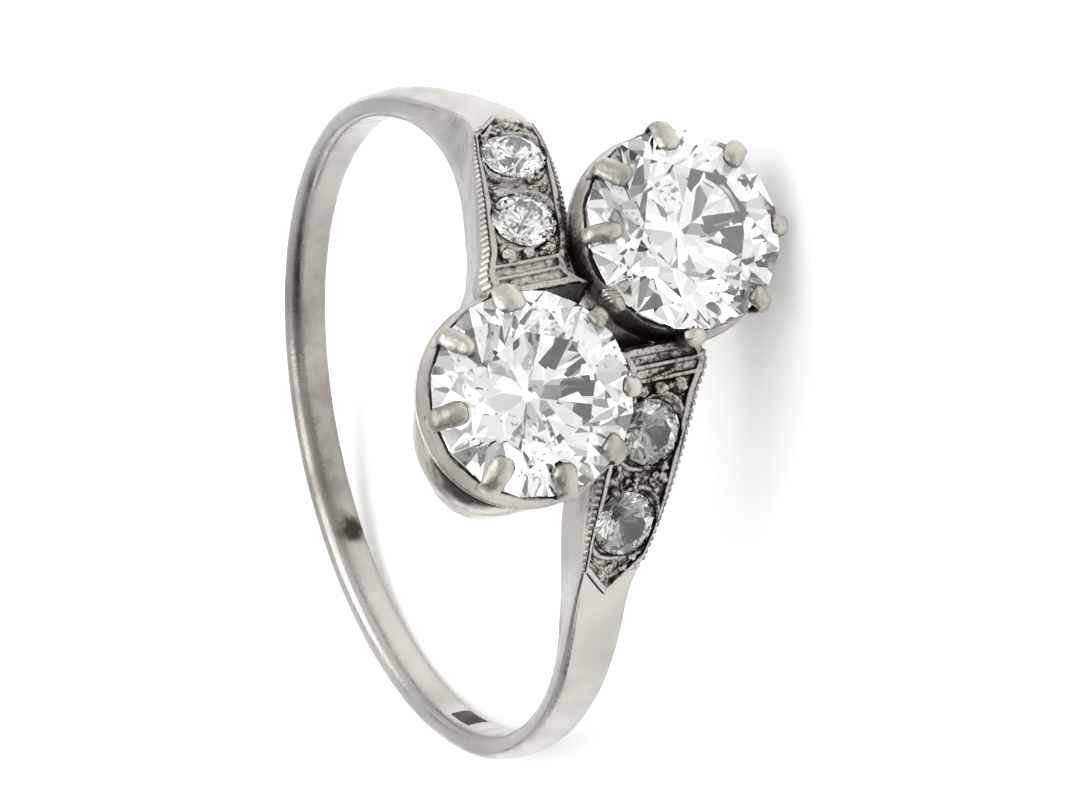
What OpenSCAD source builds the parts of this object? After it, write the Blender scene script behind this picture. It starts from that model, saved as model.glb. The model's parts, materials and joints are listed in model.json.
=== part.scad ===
// Toi et moi ring with two round stones in claw settings and pavé shoulders.
// The ring is drawn as it is worn: the finger runs along Z and the head points to -Y.
// place() then lays it on its side, on the edge of one cup and the edge of the shank.
// Both halves are the same, turned half a turn about the line through the head.
// Sizes are in mm.

/* [Shank] */

// Diameter of the finger hole
finger_d = 17; // [16:0.5:19]
// Width of the shank at the back
shank_w = 1.16; // [1:0.02:1.6]
// Thickness of the shank at the back
shank_t = 0.85; // [0.7:0.05:1.2]
// Bevel along the inner edges of the shank
edge_bevel = 0.08; // [0.04:0.02:0.14]

/* [Shoulders] */

// Width of a shoulder on the finger
plate_w = 2.36; // [2.2:0.02:2.5]
// Width of the sunk field that holds the stones
field_w = 1.78; // [1.7:0.02:1.86]
// Height of a shoulder over the finger at the head
head_t = 2.38; // [2.2:0.02:2.6]
// How far a shoulder swings to the side at the head
sweep = 1.6; // [1.5:0.02:1.7]
// How far the outer edges of a shoulder fall away at the head
edge_fall = 0.8; // [0.4:0.05:1]
// Depth of the sunk field between the rims
field_drop = 0.14; // [0.08:0.01:0.18]
// Step up from the shank to the pointed end of a shoulder
point_step = 0.06; // [0.03:0.01:0.1]
// How far the pointed end runs back from its corners, in degrees
point_run = 5; // [3:0.5:6]
// Thickness of the bridge under the head
bridge_t = 0.75; // [0.6:0.05:0.85]
// Width of one milled grain along a rim
milgrain_w = 0.19; // [0.15:0.01:0.21]
// Distance from one milled grain to the next
milgrain_pitch = 0.19; // [0.17:0.01:0.25]

/* [Main stones] */

// Diameter of a main stone
main_d = 5.4; // [4.9:0.1:5.9]
// Height of the girdles over the finger hole
main_rise = 2.96; // [2.8:0.02:3.1]
// Gap between the edges of the two main stones
stones_apart = 1.05; // [0.9:0.05:1.3]
// Turn of the line from one main stone to the other, away from round the finger
stones_turn = 57.8; // [56:0.2:60]

/* [Shoulder stones] */

// Diameter of a shoulder stone
small_d = 1.75; // [1.6:0.05:1.8]
// Height of a shoulder stone's girdle over the sunk field
small_up = 0.06; // [0:0.01:0.1]

/* [Cut of the stones] */

// Table width as a share of the diameter
table_share = 0.55; // [0.5:0.01:0.6]
// Crown height as a share of the diameter
crown_share = 0.15; // [0.12:0.01:0.17]
// Pavilion depth as a share of the diameter
pavilion_share = 0.43; // [0.4:0.01:0.44]
// Girdle thickness as a share of the diameter
girdle_share = 0.02; // [0.01:0.005:0.03]
// Culet width as a share of the diameter
culet_share = 0.05; // [0.03:0.01:0.08]

/* [Settings] */

// Space between a stone and its setting
stone_gap = 0.04; // [0.03:0.01:0.06]
// Thickness of the wall of a setting at its upper edge
wall_t = 0.42; // [0.36:0.02:0.5]
// How far the wall's upper edge stands out from the girdle
wall_out = 0.03; // [0.02:0.01:0.08]
// How far the wall widens toward its lower edge
wall_flare = 0.07; // [0:0.01:0.12]
// Depth of the upper edge of the wall under the girdle
wall_top = 0.12; // [0.1:0.01:0.16]
// Depth of the lower edge of the wall under the girdle
wall_low = 1.15; // [1.05:0.05:1.25]
// Depth of the bowl's upper edge under the girdle
base_top = 2.1; // [2:0.05:2.2]
// Distance of the bowl inside the girdle
base_in = 0.54; // [0.4:0.02:0.6]
// How far the bowl narrows down to the finger
base_taper = 0.2; // [0.1:0.05:0.3]
// Thickness of the bowl
base_t = 0.45; // [0.35:0.05:0.5]
// Depth of the scallops between the claws
scallop = 0.25; // [0.1:0.05:0.35]
// Radius of the scallops
scallop_r = 0.9; // [0.7:0.05:1]
// Thickness of a claw
claw_t = 0.42; // [0.36:0.02:0.46]

/* [Hidden] */

bore_r = finger_d / 2;
main_r = main_d / 2;
main_x = (main_d + stones_apart) / 2 * cos(stones_turn);
main_z = (main_d + stones_apart) / 2 * sin(stones_turn);
main_h = bore_r + main_rise;
base_low = main_h - sqrt(bore_r * bore_r - (main_x + main_r) * (main_x + main_r)) + 0.1;
depth_under = 0.3;
cut_extra = 1;
facets = 8;

// Claws of the first setting, round from the side that faces +X
// angle, width, whether the leg reaches the bowl, how far it stands out, share of its reach;
// width and standing out are in claw thicknesses
claws_1 = [
    [2, 1.7, 1, 0, 0.75],
    [46, 1.2, 1, 0, 1],
    [93, 1.34, 0, 0, 1],
    [140, 1.38, 0, 0, 1],
    [184, 1.48, 0, 0, 1],
    [222, 1.38, 0, 0, 0.7],
    [261, 1.2, 1, 0, 0.4],
    [305, 1.14, 1, 0.12, 0.4]
];
// Claws of the second setting
claws_2 = [
    [-1, 1.38, 1, 0, 0.95],
    [43, 1.28, 1, 0, 1],
    [84, 1.1, 0, 0, 1],
    [120, 1.76, 1, 0.7, 0.1],
    [168, 1.52, 1, 0.62, 0.1],
    [213, 1.28, 1, 0.28, 0.5],
    [260, 1.14, 1, 0.05, 0.4],
    [311, 1.24, 1, 0, 0.9]
];
// Settings: side, lean and its direction, lean of the bowl and its direction, claws
settings = [
    [-1, 8, 122, 3, 40, claws_1],
    [1, 2, 122, 0, 0, claws_2]
];
// Shoulder stones: side, place in degrees, tilt of the face in degrees, shift across as a share of the plate
smalls = [
    [1, 30, 36, -0.02],
    [1, 17, 26, 0.01],
    [-1, 30, 36, -0.02],
    [-1, 17, 26, 0.01]
];

// Grains on each shoulder that hold its stones: place in degrees, share of half the field,
// radius in depths of the field
grains = [
    [39.2, 0.02, 0.71],
    [37.4, 0.4, 0.71],
    [37.2, -0.42, 0.71],
    [25.7, 0.7, 0.93],
    [24.6, -0.05, 0.86],
    [24.8, -0.7, 0.93],
    [22.2, 0.74, 1],
    [21.9, 0.1, 0.79],
    [22.4, -0.72, 0.93],
    [11.1, 0.68, 1.21],
    [11, -0.04, 1.07],
    [10.9, -0.7, 1.14]
];

// Half of the ring from the head to the back, as shares
// degrees, width, height, swing, push of the top, flatness, top width, fall of the edges
run = [
    [0, 1, 1.05, 0, 0, 1, 1.1, 1],
    [7, 1, 1, 0.925, 0.01, 1, 1.1, 1],
    [13, 1, 0.85, 0.675, 0.015, 1, 1.1, 0.62],
    [18, 1, 0.72, 0.46, 0.03, 1, 1.06, 0.5],
    [22, 1, 0.66, 0.33, 0.015, 1, 1.02, 0.44],
    [30, 0.88, 0.52, 0.1, -0.02, 1, 0.97, 0.26],
    [36, 0.7, 0.43, 0, -0.08, 1, 0.93, 0.1],
    [42, 0.55, 0.31, -0.06, -0.12, 0.9, 0.88, 0],
    [50, 0.47, 0.16, -0.09, -0.06, 0.6, 0.9, 0],
    [60, 0.36, 0.03, -0.07, -0.01, 0.25, 0.91, 0],
    [75, 0.24, -0.05, -0.02, 0, 0, 0.92, 0],
    [90, 0.18, -0.06, 0, 0, 0, 0.92, 0],
    [120, 0.04, -0.03, 0, 0, 0, 0.92, 0],
    [180, 0, 0, 0, 0, 0, 0.92, 0]
];
// Rows of the swept body: degrees, share of the point, kind
// kind 0 plain shank, 1 rim right across, 2 rims with the field between them, 3 bridge
rows = [
    [180, 0, 0],
    [168, 0, 0],
    [156, 0, 0],
    [144, 0, 0],
    [132, 0, 0],
    [120, 0, 0],
    [108, 0, 0],
    [96, 0, 0],
    [84, 0, 0],
    [74, 0, 0],
    [66, 0, 0],
    [60, 0.25, 0],
    [55, 0.5, 0],
    [51, 0.7, 0],
    [47, 0.9, 0],
    [44, 1, 0],
    [42, 1, 0],
    [41.7, 1, 1],
    [40.4, 1, 1],
    [40, 1, 2],
    [38, 0.85, 2],
    [35, 0.6, 2],
    [32, 0.35, 2],
    [29, 0.15, 2],
    [26, 0, 2],
    [23, 0, 2],
    [20, 0, 2],
    [17, 0, 2],
    [14, 0, 2],
    [11.9, 0, 2],
    [10.4, 0, 2],
    [10.2, 0, 1],
    [9.5, 0, 1],
    [9.3, 0, 2],
    [8.5, 0, 2],
    [8.3, 0, 1],
    [7.6, 0, 1],
    [7.4, 0, 2],
    [6.6, 0, 2],
    [6.4, 0, 1],
    [5.5, 0, 1],
    [5.3, 0, 3],
    [2.6, 0, 3],
    [0, 0, 3]
];
// Half of a section from the middle outward: share of the width and of the height where the
// shank is round
across = [
    [0, 1],
    [0.4, 0.96],
    [0.72, 0.86],
    [0.77, 0.84],
    [0.9, 0.75],
    [1, 0.64]
];
// Where the rim begins in that list, and the rim's slope and flat part as shares
rim_at = 3;
rim_slope = 0.1;
rim_flat = 0.5;
wall_edge = [0.42, 0.3];

// Values between the rows of a table, without corners
function knot(t, s, i = 0) =
    i >= len(t) - 2 || s <= t[i + 1][0] ? i : knot(t, s, i + 1);
function rate(t, i, c) =
    i <= 0 || i >= len(t) - 1 ? 0 : (t[i + 1][c] - t[i - 1][c]) / (t[i + 1][0] - t[i - 1][0]);
function smooth(t, s, c) =
    let (i = knot(t, s), d = t[i + 1][0] - t[i][0], x = (s - t[i][0]) / d)
    t[i][c] * (1 + 2 * x) * (1 - x) * (1 - x)
    + d * rate(t, i, c) * x * (1 - x) * (1 - x)
    + t[i + 1][c] * x * x * (3 - 2 * x)
    + d * rate(t, i + 1, c) * x * x * (x - 1);

// Half width, height over the finger, and middle of the section at one angle
function half_w(s) = (shank_w + (plate_w - shank_w) * smooth(run, s, 1)) / 2;
function crown_t(s) = shank_t + (head_t - shank_t) * smooth(run, s, 2);
function middle(s) = sweep * smooth(run, s, 3);
function top_middle(s) = middle(s) + plate_w * smooth(run, s, 4);
function top_w(s) = half_w(s) * smooth(run, s, 6);
function flat(s) = smooth(run, s, 5);
function fall(s) = edge_fall * smooth(run, s, 7);
function on_ring(s, r, z) = [r * sin(s), -r * cos(s), z];

// Distance of a section's points from its middle, on the round shank and on a shoulder
function plate_at(s, k) =
    let (w = top_w(s), f = min(field_w / 2, 0.86 * w))
    k < rim_at ? f * [0, 0.5, 1][k] : f + (w - f) * [rim_slope, rim_flat, 1][k - rim_at];
function out_at(s, k) =
    let (round_at = top_w(s) * across[k][0])
    round_at + (plate_at(s, k) - round_at) * flat(s);

// One point of the top of a section
function top_height(s, k, kind) =
    kind == 3 ? bridge_t :
    crown_t(s) * (1 - (1 - across[k][1]) * (1 - flat(s)))
    + (kind > 0 ? point_step : 0)
    - (kind == 2 && k < rim_at ? field_drop : 0)
    - (k == len(across) - 1 ? fall(s) + 0.05 * edge_fall * flat(s) : 0);
function top_point(row, k, side) =
    let (s = row[0] - point_run * row[1] * out_at(row[0], k) / top_w(row[0]))
    on_ring(s, bore_r + top_height(s, k, row[2]), top_middle(s) + side * out_at(s, k));
function wall_points(row, side) =
    let (
        s = row[0] - point_run * row[1],
        w = half_w(s),
        e = wall_edge[0] + (wall_edge[1] - wall_edge[0]) * flat(s),
        t = row[2] == 3 ? bridge_t : crown_t(s)
    )
    [
        on_ring(s, bore_r + t * e, middle(s) + side * w),
        on_ring(s, bore_r + edge_bevel, middle(s) + side * w),
        on_ring(s, bore_r - depth_under, middle(s) + side * (w - edge_bevel - depth_under))
    ];
function section(row) =
    let (low = wall_points(row, -1), high = wall_points(row, 1), n = len(across) - 1)
    concat(
        [for (j = [2:-1:0]) low[j]],
        [for (j = [n:-1:1]) top_point(row, j, -1)],
        [for (j = [0:n]) top_point(row, j, 1)],
        high
    );
function half_turn(p) = [-p[0], p[1], -p[2]];
function back_round(list) = [for (j = [len(list) - 1:-1:0]) list[j]];

half_rows = [for (row = rows) section(row)];
loop_rows = concat(
    [for (i = [1:len(rows) - 2]) back_round([for (p = half_rows[i]) half_turn(p)])],
    back_round(half_rows)
);

// A solid through rings of points, closed to a loop or capped at its ends
module skin(rings, loop = false) {
    n = len(rings[0]);
    m = len(rings);
    points = [for (ring = rings) each ring];
    sides = [
        for (i = [0:m - (loop ? 1 : 2)], j = [0:n - 1])
            let (
                a = i * n + j,
                b = i * n + (j + 1) % n,
                c = ((i + 1) % m) * n + (j + 1) % n,
                d = ((i + 1) % m) * n + j
            )
            each [[a, b, c], [a, c, d]]
    ];
    caps = loop ? [] : [[for (j = [n - 1:-1:0]) j], [for (j = [0:n - 1]) (m - 1) * n + j]];
    polyhedron(points = points, faces = concat(sides, caps), convexity = 8);
}

// A round brilliant with its girdle round the origin and its table up
module brilliant(d) {
    r = d / 2;
    half = 180 / facets;
    gz = d * girdle_share / 2;
    tr = r * table_share;
    tz = gz + d * crown_share;
    cr = r * culet_share;
    cz = -gz - d * pavilion_share;
    sr = tr + 0.52 * (r - tr);
    sz = tz - (sr * cos(half) - tr) * (tz - gz) / (r - tr);
    lr = r * 0.26;
    lz = -gz - (r - lr * cos(half)) * (-gz - cz) / (r - cr);
    table = [for (k = [0:facets - 1]) [tr * cos(2 * half * k), tr * sin(2 * half * k), tz]];
    star = [for (k = [0:facets - 1]) [sr * cos(half * (2 * k + 1)), sr * sin(half * (2 * k + 1)), sz]];
    upper = [for (k = [0:2 * facets - 1]) [r * cos(half * k), r * sin(half * k), gz]];
    lower = [for (k = [0:2 * facets - 1]) [r * cos(half * k), r * sin(half * k), -gz]];
    deep = [for (k = [0:facets - 1]) [lr * cos(half * (2 * k + 1)), lr * sin(half * (2 * k + 1)), lz]];
    culet_r = cr / cos(half);
    culet = [
        for (k = [0:facets - 1])
            [culet_r * cos(half * (2 * k + 1)), culet_r * sin(half * (2 * k + 1)), cz]
    ];
    s = facets;
    u = 2 * facets;
    l = 4 * facets;
    p = 6 * facets;
    q = 7 * facets;
    faces = concat(
        [[for (k = [facets - 1:-1:0]) k]],
        [for (k = [0:facets - 1]) [k, (k + 1) % facets, s + k]],
        [
            for (k = [0:facets - 1])
                [k, s + k, u + 2 * k, s + (k + facets - 1) % facets]
        ],
        [for (k = [0:facets - 1]) [s + k, u + 2 * k + 1, u + 2 * k]],
        [for (k = [0:facets - 1]) [s + k, u + (2 * k + 2) % (2 * facets), u + 2 * k + 1]],
        [
            for (k = [0:2 * facets - 1])
                [u + k, u + (k + 1) % (2 * facets), l + (k + 1) % (2 * facets), l + k]
        ],
        [for (k = [0:facets - 1]) [p + k, l + 2 * k, l + 2 * k + 1]],
        [for (k = [0:facets - 1]) [p + k, l + 2 * k + 1, l + (2 * k + 2) % (2 * facets)]],
        [
            for (k = [0:facets - 1])
                [
                    l + 2 * k,
                    p + k,
                    q + k,
                    q + (k + facets - 1) % facets,
                    p + (k + facets - 1) % facets
                ]
        ],
        [[for (k = [0:facets - 1]) q + k]]
    );
    polyhedron(points = concat(table, star, upper, lower, deep, culet), faces = faces, convexity = 2);
}

// The round space a stone needs, wider than the stone by the gap
module stone_space(d) {
    r = d / 2;
    g = stone_gap;
    gz = d * girdle_share / 2;
    tr = r * table_share;
    ch = d * crown_share;
    ph = d * pavilion_share;
    up = ch / (r - tr);
    down = ph / (r - r * culet_share);
    up_gap = g * sqrt(1 + up * up);
    down_gap = g * sqrt(1 + down * down);
    rotate_extrude($fn = 96)
        polygon([
            [0, -gz - ph - g],
            [r - (ph + g - down_gap) / down, -gz - ph - g],
            [r + g, -gz - down_gap + g * down],
            [r + g, gz + up_gap - g * up],
            [r - (ch + g - up_gap) / up, gz + ch + g],
            [0, gz + ch + g]
        ]);
}

// Brings a setting's own frame, face up, to its place on the head
module at_setting(s, lean, way) {
    translate([s[0] * main_x, -main_h, -s[0] * main_z])
        rotate([90, 0, 0])
            rotate(a = lean, v = [-sin(way), cos(way), 0])
                children();
}

// Brings a shoulder stone's own frame, face up, to its place
module at_small(s) {
    r = bore_r + crown_t(s[1]) + point_step - field_drop + small_up;
    rotate([0, s[0] > 0 ? 0 : 180, 0])
        translate(on_ring(s[1], r, top_middle(s[1]) + s[3] * plate_w))
            rotate([0, 0, s[2]])
                rotate([90, 0, 0])
                    children();
}

// Stations of a claw, from its foot over the edge of a main stone to its tip
// out from the girdle, height, turn from upright, thickness, width
function bend(c) =
    let (
        up = main_d * crown_share / (main_r * (1 - table_share)),
        turn = atan(1 / up),
        over = function (x) main_d * girdle_share / 2 - x * up + stone_gap * sqrt(1 + up * up),
        t = claw_t,
        foot = c[2] > 0 ? -(base_top + 1.07 * t) : -(wall_low - 0.29 * t),
        stand = c[3] * t,
        tip = function (x) x * t * c[4],
        lift = function (x) over(min(x * t * c[4] + stand, 0))
    )
    [
        [c[2] > 0 ? 0.14 * t - base_in : -0.29 * t, foot, 0, 0.8, 0.8],
        [-0.24 * t, 0.71 * t - wall_low, 0, 0.9, 0.86],
        [-0.05 * t + stand * 0.4, -1.2 * t, -6, 1, 0.92],
        [0.14 * t + stand * 0.9, -0.29 * t, -12, 1.02, 0.97],
        [0.29 * t + stand, 0.19 * t, 0, 1.04, 1],
        [0.14 * t + stand, 0.67 * t, 34, 1.02, 1],
        [tip(-0.24) + stand, lift(-0.24) + 0.36 * t, turn - 4, 0.92, 0.94],
        [tip(-0.71) + stand - 0.1 * t, lift(-0.71) + 0.33 * t, turn, 0.84, 0.9],
        [tip(-1.05) + stand - 0.19 * t, lift(-1.05) + 0.26 * t, turn + 4, 0.7, 0.76],
        [tip(-1.26) + stand - 0.29 * t, lift(-1.26) + 0.14 * t, turn + 8, 0.38, 0.44]
    ];

// One claw
module claw(c) {
    width = c[1] * claw_t;
    skin([
        for (b = bend(c))
            [
                for (k = [0:7])
                    let (
                        side = cos(45 * k + 22.5) * b[4] * width / 2 / cos(22.5),
                        out = sin(45 * k + 22.5) * b[3] * claw_t / 2 / cos(22.5)
                    )
                    [main_r + b[0] + out * cos(b[2]), side, b[1] + out * sin(b[2])]
            ]
    ]);
}

// The scalloped wall of a setting and its claws
module cup(claws) {
    top = main_r + wall_out;
    low = top + wall_flare;
    inner = top - wall_t;
    difference() {
        rotate_extrude($fn = 96)
            polygon([
                [inner, -wall_low],
                [low - 0.06, -wall_low],
                [low, -wall_low + 0.06],
                [top, -wall_top],
                [inner, -wall_top]
            ]);
        for (k = [0:len(claws) - 1]) {
            next = claws[(k + 1) % len(claws)][0] + (k == len(claws) - 1 ? 360 : 0);
            rotate([0, 0, (claws[k][0] + next) / 2])
                translate([inner - cut_extra, 0, -wall_top + scallop_r - scallop])
                    rotate([0, 90, 0])
                        cylinder(r = scallop_r, h = wall_t + 3 * cut_extra, $fn = 48);
        }
    }
    for (c = claws)
        rotate([0, 0, c[0]])
            claw(c);
}

// The open bowl that stands on the finger under a cup
module bowl() {
    top = main_r - base_in;
    low = top - base_taper;
    rotate_extrude($fn = 96)
        polygon([
            [top - base_t, -base_top],
            [top - 0.08, -base_top],
            [top, -base_top - 0.08],
            [low, -base_low],
            [low - base_t, -base_low]
        ]);
}

// Shank, shoulders and bridge in one loop, before the finger hole is cut
module body() {
    skin(loop_rows, loop = true);
}

// Milled grains along one outer edge of a shoulder
module milgrain(side) {
    first = 36.5;
    last = 6.6;
    step = milgrain_pitch / 2 / (bore_r + shank_t) * 180 / PI;
    skin([
        for (i = [0:floor((first - last) / step)])
            let (
                s = first - i * step,
                g = milgrain_w / 2 * (i % 2 == 0 ? 0.4 : 1),
                r = bore_r + crown_t(s) + point_step - fall(s) + 0.01,
                z = top_middle(s) + side * (top_w(s) - 0.03)
            )
            [for (k = [0:3]) on_ring(s, r + g * sin(90 * k), z + g * cos(90 * k))]
    ]);
}

// Grains raised from the sunk field, and the milled edges, for both shoulders
module beading() {
    for (turn = [0, 180])
        rotate([0, turn, 0]) {
            for (g = grains)
                translate(on_ring(
                    g[0],
                    bore_r + crown_t(g[0]) + point_step - field_drop * (1 - g[2] * 0.45),
                    top_middle(g[0]) + g[1] * plate_at(g[0], 2)
                ))
                    sphere(r = g[2] * field_drop, $fn = 24);
            for (side = [-1, 1])
                milgrain(side);
        }
}

module metal() {
    difference() {
        union() {
            body();
            beading();
            for (s = settings) {
                at_setting(s, s[1], s[2]) cup(s[5]);
                at_setting(s, s[3], s[4]) bowl();
            }
        }
        for (s = settings)
            at_setting(s, s[1], s[2]) stone_space(main_d);
        for (s = smalls)
            at_small(s) stone_space(small_d);
        cylinder(r = bore_r, h = 4 * (main_z + main_d), center = true, $fn = 128);
    }
}

// A point turned by an angle about an axis through the origin
function turned(p, axis, a) =
    let (n = axis / norm(axis))
    p * cos(a) + cross(n, p) * sin(a) + n * (n * p) * (1 - cos(a));
// The outermost point of each station of a claw, on the ring
function claw_points(s, c) = [
    for (b = bend(c))
        let (
            r = main_r + b[0] + b[3] * claw_t / 2,
            p = turned([r * cos(c[0]), r * sin(c[0]), b[1]], [-sin(s[2]), cos(s[2]), 0], s[1])
        )
        [s[0] * main_x + p[0], -main_h - p[2], -s[0] * main_z + p[1]]
];

// The ring lies on the lower edge of one cup, where a claw stands, and on the edge of the
// shank this many degrees round from the head on the other side
rest_angle = 144;
rest_r = main_r + wall_out + wall_flare;
rest_rim = [
    main_x + rest_r * cos(claws_2[6][0]),
    wall_low - main_h,
    -main_z + rest_r * sin(claws_2[6][0])
];
rest_edge = on_ring(-rest_angle, bore_r + shank_t * wall_edge[0], -half_w(rest_angle));
rest_along = [cos(rest_angle), -sin(rest_angle), 0];
rest_cross = cross(rest_along, rest_edge - rest_rim);
rest_up = rest_cross * (rest_cross[2] < 0 ? -1 : 1) / norm(rest_cross);
rest_turn = acos(rest_up[2]);
rest_axis = [rest_up[1], -rest_up[0], 0];
outline = [
    for (p = concat(
        [for (ring = loop_rows) each ring],
        [for (s = settings, c = s[5]) each claw_points(s, c)]
    ))
        turned(p, rest_axis, rest_turn)
];
low = [for (i = [0:2]) min([for (p = outline) p[i]])];
high = [for (i = [0:2]) max([for (p = outline) p[i]])];

module place() {
    translate([-(low[0] + high[0]) / 2, -(low[1] + high[1]) / 2, -low[2]])
        rotate(a = rest_turn, v = rest_axis)
            children();
}

module mounting() {
    color([0.74, 0.73, 0.71])
        place() metal();
}

module main_stone_1() {
    color([0.9, 0.93, 0.96, 0.7])
        place() at_setting(settings[0], settings[0][1], settings[0][2]) brilliant(main_d);
}

module main_stone_2() {
    color([0.9, 0.93, 0.96, 0.7])
        place() at_setting(settings[1], settings[1][1], settings[1][2]) brilliant(main_d);
}

module shoulder_stone_1() {
    color([0.85, 0.9, 0.94, 0.7])
        place() at_small(smalls[0]) brilliant(small_d);
}

module shoulder_stone_2() {
    color([0.85, 0.9, 0.94, 0.7])
        place() at_small(smalls[1]) brilliant(small_d);
}

module shoulder_stone_3() {
    color([0.85, 0.9, 0.94, 0.7])
        place() at_small(smalls[2]) brilliant(small_d);
}

module shoulder_stone_4() {
    color([0.85, 0.9, 0.94, 0.7])
        place() at_small(smalls[3]) brilliant(small_d);
}

mounting();
main_stone_1();
main_stone_2();
shoulder_stone_1();
shoulder_stone_2();
shoulder_stone_3();
shoulder_stone_4();
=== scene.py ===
import json
import math
import random

import bmesh
import bpy
import numpy as np
from bpy.props import FloatProperty, FloatVectorProperty, PointerProperty
from mathutils import Matrix, Vector, kdtree, noise
from mathutils.bvhtree import BVHTree


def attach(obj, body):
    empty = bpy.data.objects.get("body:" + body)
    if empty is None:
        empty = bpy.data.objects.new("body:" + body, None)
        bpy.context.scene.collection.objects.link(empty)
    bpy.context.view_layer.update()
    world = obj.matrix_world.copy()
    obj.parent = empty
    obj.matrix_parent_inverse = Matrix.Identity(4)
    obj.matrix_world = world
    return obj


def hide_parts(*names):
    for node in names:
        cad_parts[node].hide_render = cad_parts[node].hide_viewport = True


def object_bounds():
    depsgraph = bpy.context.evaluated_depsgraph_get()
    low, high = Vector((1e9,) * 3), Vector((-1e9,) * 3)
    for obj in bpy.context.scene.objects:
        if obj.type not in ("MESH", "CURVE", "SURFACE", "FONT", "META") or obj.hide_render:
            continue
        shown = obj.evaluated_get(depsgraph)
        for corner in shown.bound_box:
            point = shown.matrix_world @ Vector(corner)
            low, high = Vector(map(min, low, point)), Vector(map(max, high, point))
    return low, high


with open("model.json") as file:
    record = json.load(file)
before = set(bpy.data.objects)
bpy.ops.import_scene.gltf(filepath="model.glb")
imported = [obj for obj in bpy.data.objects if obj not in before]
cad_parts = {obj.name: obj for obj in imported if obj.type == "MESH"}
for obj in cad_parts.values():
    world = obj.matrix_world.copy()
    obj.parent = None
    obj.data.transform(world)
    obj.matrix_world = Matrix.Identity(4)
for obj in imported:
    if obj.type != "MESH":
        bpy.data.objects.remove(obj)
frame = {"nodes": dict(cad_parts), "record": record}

bl_info = {
    "name": "Toi et moi ring",
    "version": (1, 0, 0),
    "blender": (4, 5, 0),
    "location": "View3D > Sidebar > Ring",
    "description": "Dresses the packed ring: shank and shoulders, settings, claws, milgrain and stones",
    "category": "Object",
}

CAD_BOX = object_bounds()
MM = 0.001

# Half of the ring from the head to the back, as shares of the sizes
# degrees, width, height, swing, push of the top, flatness, top width, fall of the edges
RUN = np.array([
    [0, 1, 1.05, 0, 0, 1, 1.1, 1],
    [7, 1, 1, 0.925, 0.01, 1, 1.1, 1],
    [13, 1, 0.85, 0.675, 0.015, 1, 1.1, 0.62],
    [18, 1, 0.72, 0.46, 0.03, 1, 1.06, 0.5],
    [22, 1, 0.66, 0.33, 0.015, 1, 1.02, 0.44],
    [30, 0.88, 0.52, 0.1, -0.02, 1, 0.97, 0.26],
    [36, 0.7, 0.43, 0, -0.08, 1, 0.93, 0.1],
    [42, 0.55, 0.31, -0.06, -0.12, 0.9, 0.88, 0],
    [50, 0.47, 0.16, -0.09, -0.06, 0.6, 0.9, 0],
    [60, 0.36, 0.03, -0.07, -0.01, 0.25, 0.91, 0],
    [75, 0.24, -0.05, -0.02, 0, 0, 0.92, 0],
    [90, 0.18, -0.06, 0, 0, 0, 0.92, 0],
    [120, 0.04, -0.03, 0, 0, 0, 0.92, 0],
    [180, 0, 0, 0, 0, 0, 0.92, 0],
])
WIDTH, HEIGHT, SWING, PUSH, FLATNESS, TOP_WIDTH, FALL = range(1, 8)
# Degrees of a row, and how much of the point's slant it takes
SLANT = np.array([
    [0, 0], [26, 0], [29, 0.15], [32, 0.35], [35, 0.6], [38, 0.85], [40, 1], [44, 1],
    [47, 0.9], [51, 0.7], [55, 0.5], [60, 0.25], [66, 0], [180, 0],
])
# Rails that cross a shoulder: from and to, in degrees of a row
CROSS_RAILS = [(40.4, 41.7), (9.5, 10.2), (7.6, 8.3), (5.3, 6.4)]
# How square the shank's section is outside and inside, 2 being an ellipse
SQUARE_OUT, SQUARE_IN = 2.3, 2.7
# Where the rows of the sweep lie: from, to and pitch in degrees, the last three at the dark marks
ROWS = [(0, 5, 0.5), (5, 44, 0.22), (44, 66, 1.0), (66, 180.1, 1.2), (114, 116, 0.2), (122, 124, 0.2),
        (171, 177.5, 0.5)]
# Half the width of a rail's slope, in degrees
RAIL_SLOPE = 0.18
# Degrees where the bridge ends, the shallow part of the field, the start of its tip, its point
BRIDGE_END, SHALLOW_END, TIP_START, POINT_END = 5.0, 10.2, 35, 41.9
# Share of its depth that the field has in its shallow part
SHALLOW = 0.65
# Degrees that the middle of a fully slanted row lies past its edges
POINT_LEAD = 5.0
# Points across half a field, and the largest share of the half width that a field takes
FIELD_POINTS, FIELD_SHARE = 20, 0.86
# Where the side wall starts on the shank and on a shoulder, as shares of the thickness
WALL_EDGE = (0.42, 0.3)
# Bevel of the inner edges and fall of a shoulder's rim, in mm
EDGE_BEVEL, RIM_FALL = 0.08, 0.04
# Cut of a stone: half the girdle, crown and pavilion as shares of its diameter, table and culet
# as shares of its radius
GIRDLE, CROWN, PAVILION, TABLE, CULET = 0.01, 0.15, 0.43, 0.55, 0.05
# A seat's rim round a shoulder stone: how far out its middle lies and half its width, in mm
SEAT_OUT, SEAT_WIDE = 0.06, 0.075
# Crease down a field's tip: height and width in mm, and the degrees over which it rises
CREASE_H, CREASE_W, CREASE_FROM, CREASE_TO = 0.09, 0.045, 35.6, 36.8
# Chevron inside the tip: height in mm, and the degrees of its two slopes
CHEVRON_H, CHEVRON_UP, CHEVRON_DOWN = 0.08, (38.3, 38.6), (39.0, 39.3)
# Share of the named depth that the scallops are cut to, and radius of a cup's upper edge in mm
SCALLOPED, CUP_EDGE = 0.6, 0.035
# Where the first bowl swells out, in degrees, and how far to both sides
BULGE_AT, BULGE_WIDE = 135, 52
# Degrees between which the milgrain runs
MILGRAIN_FROM, MILGRAIN_TO = 36.4, 6.4
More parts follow.
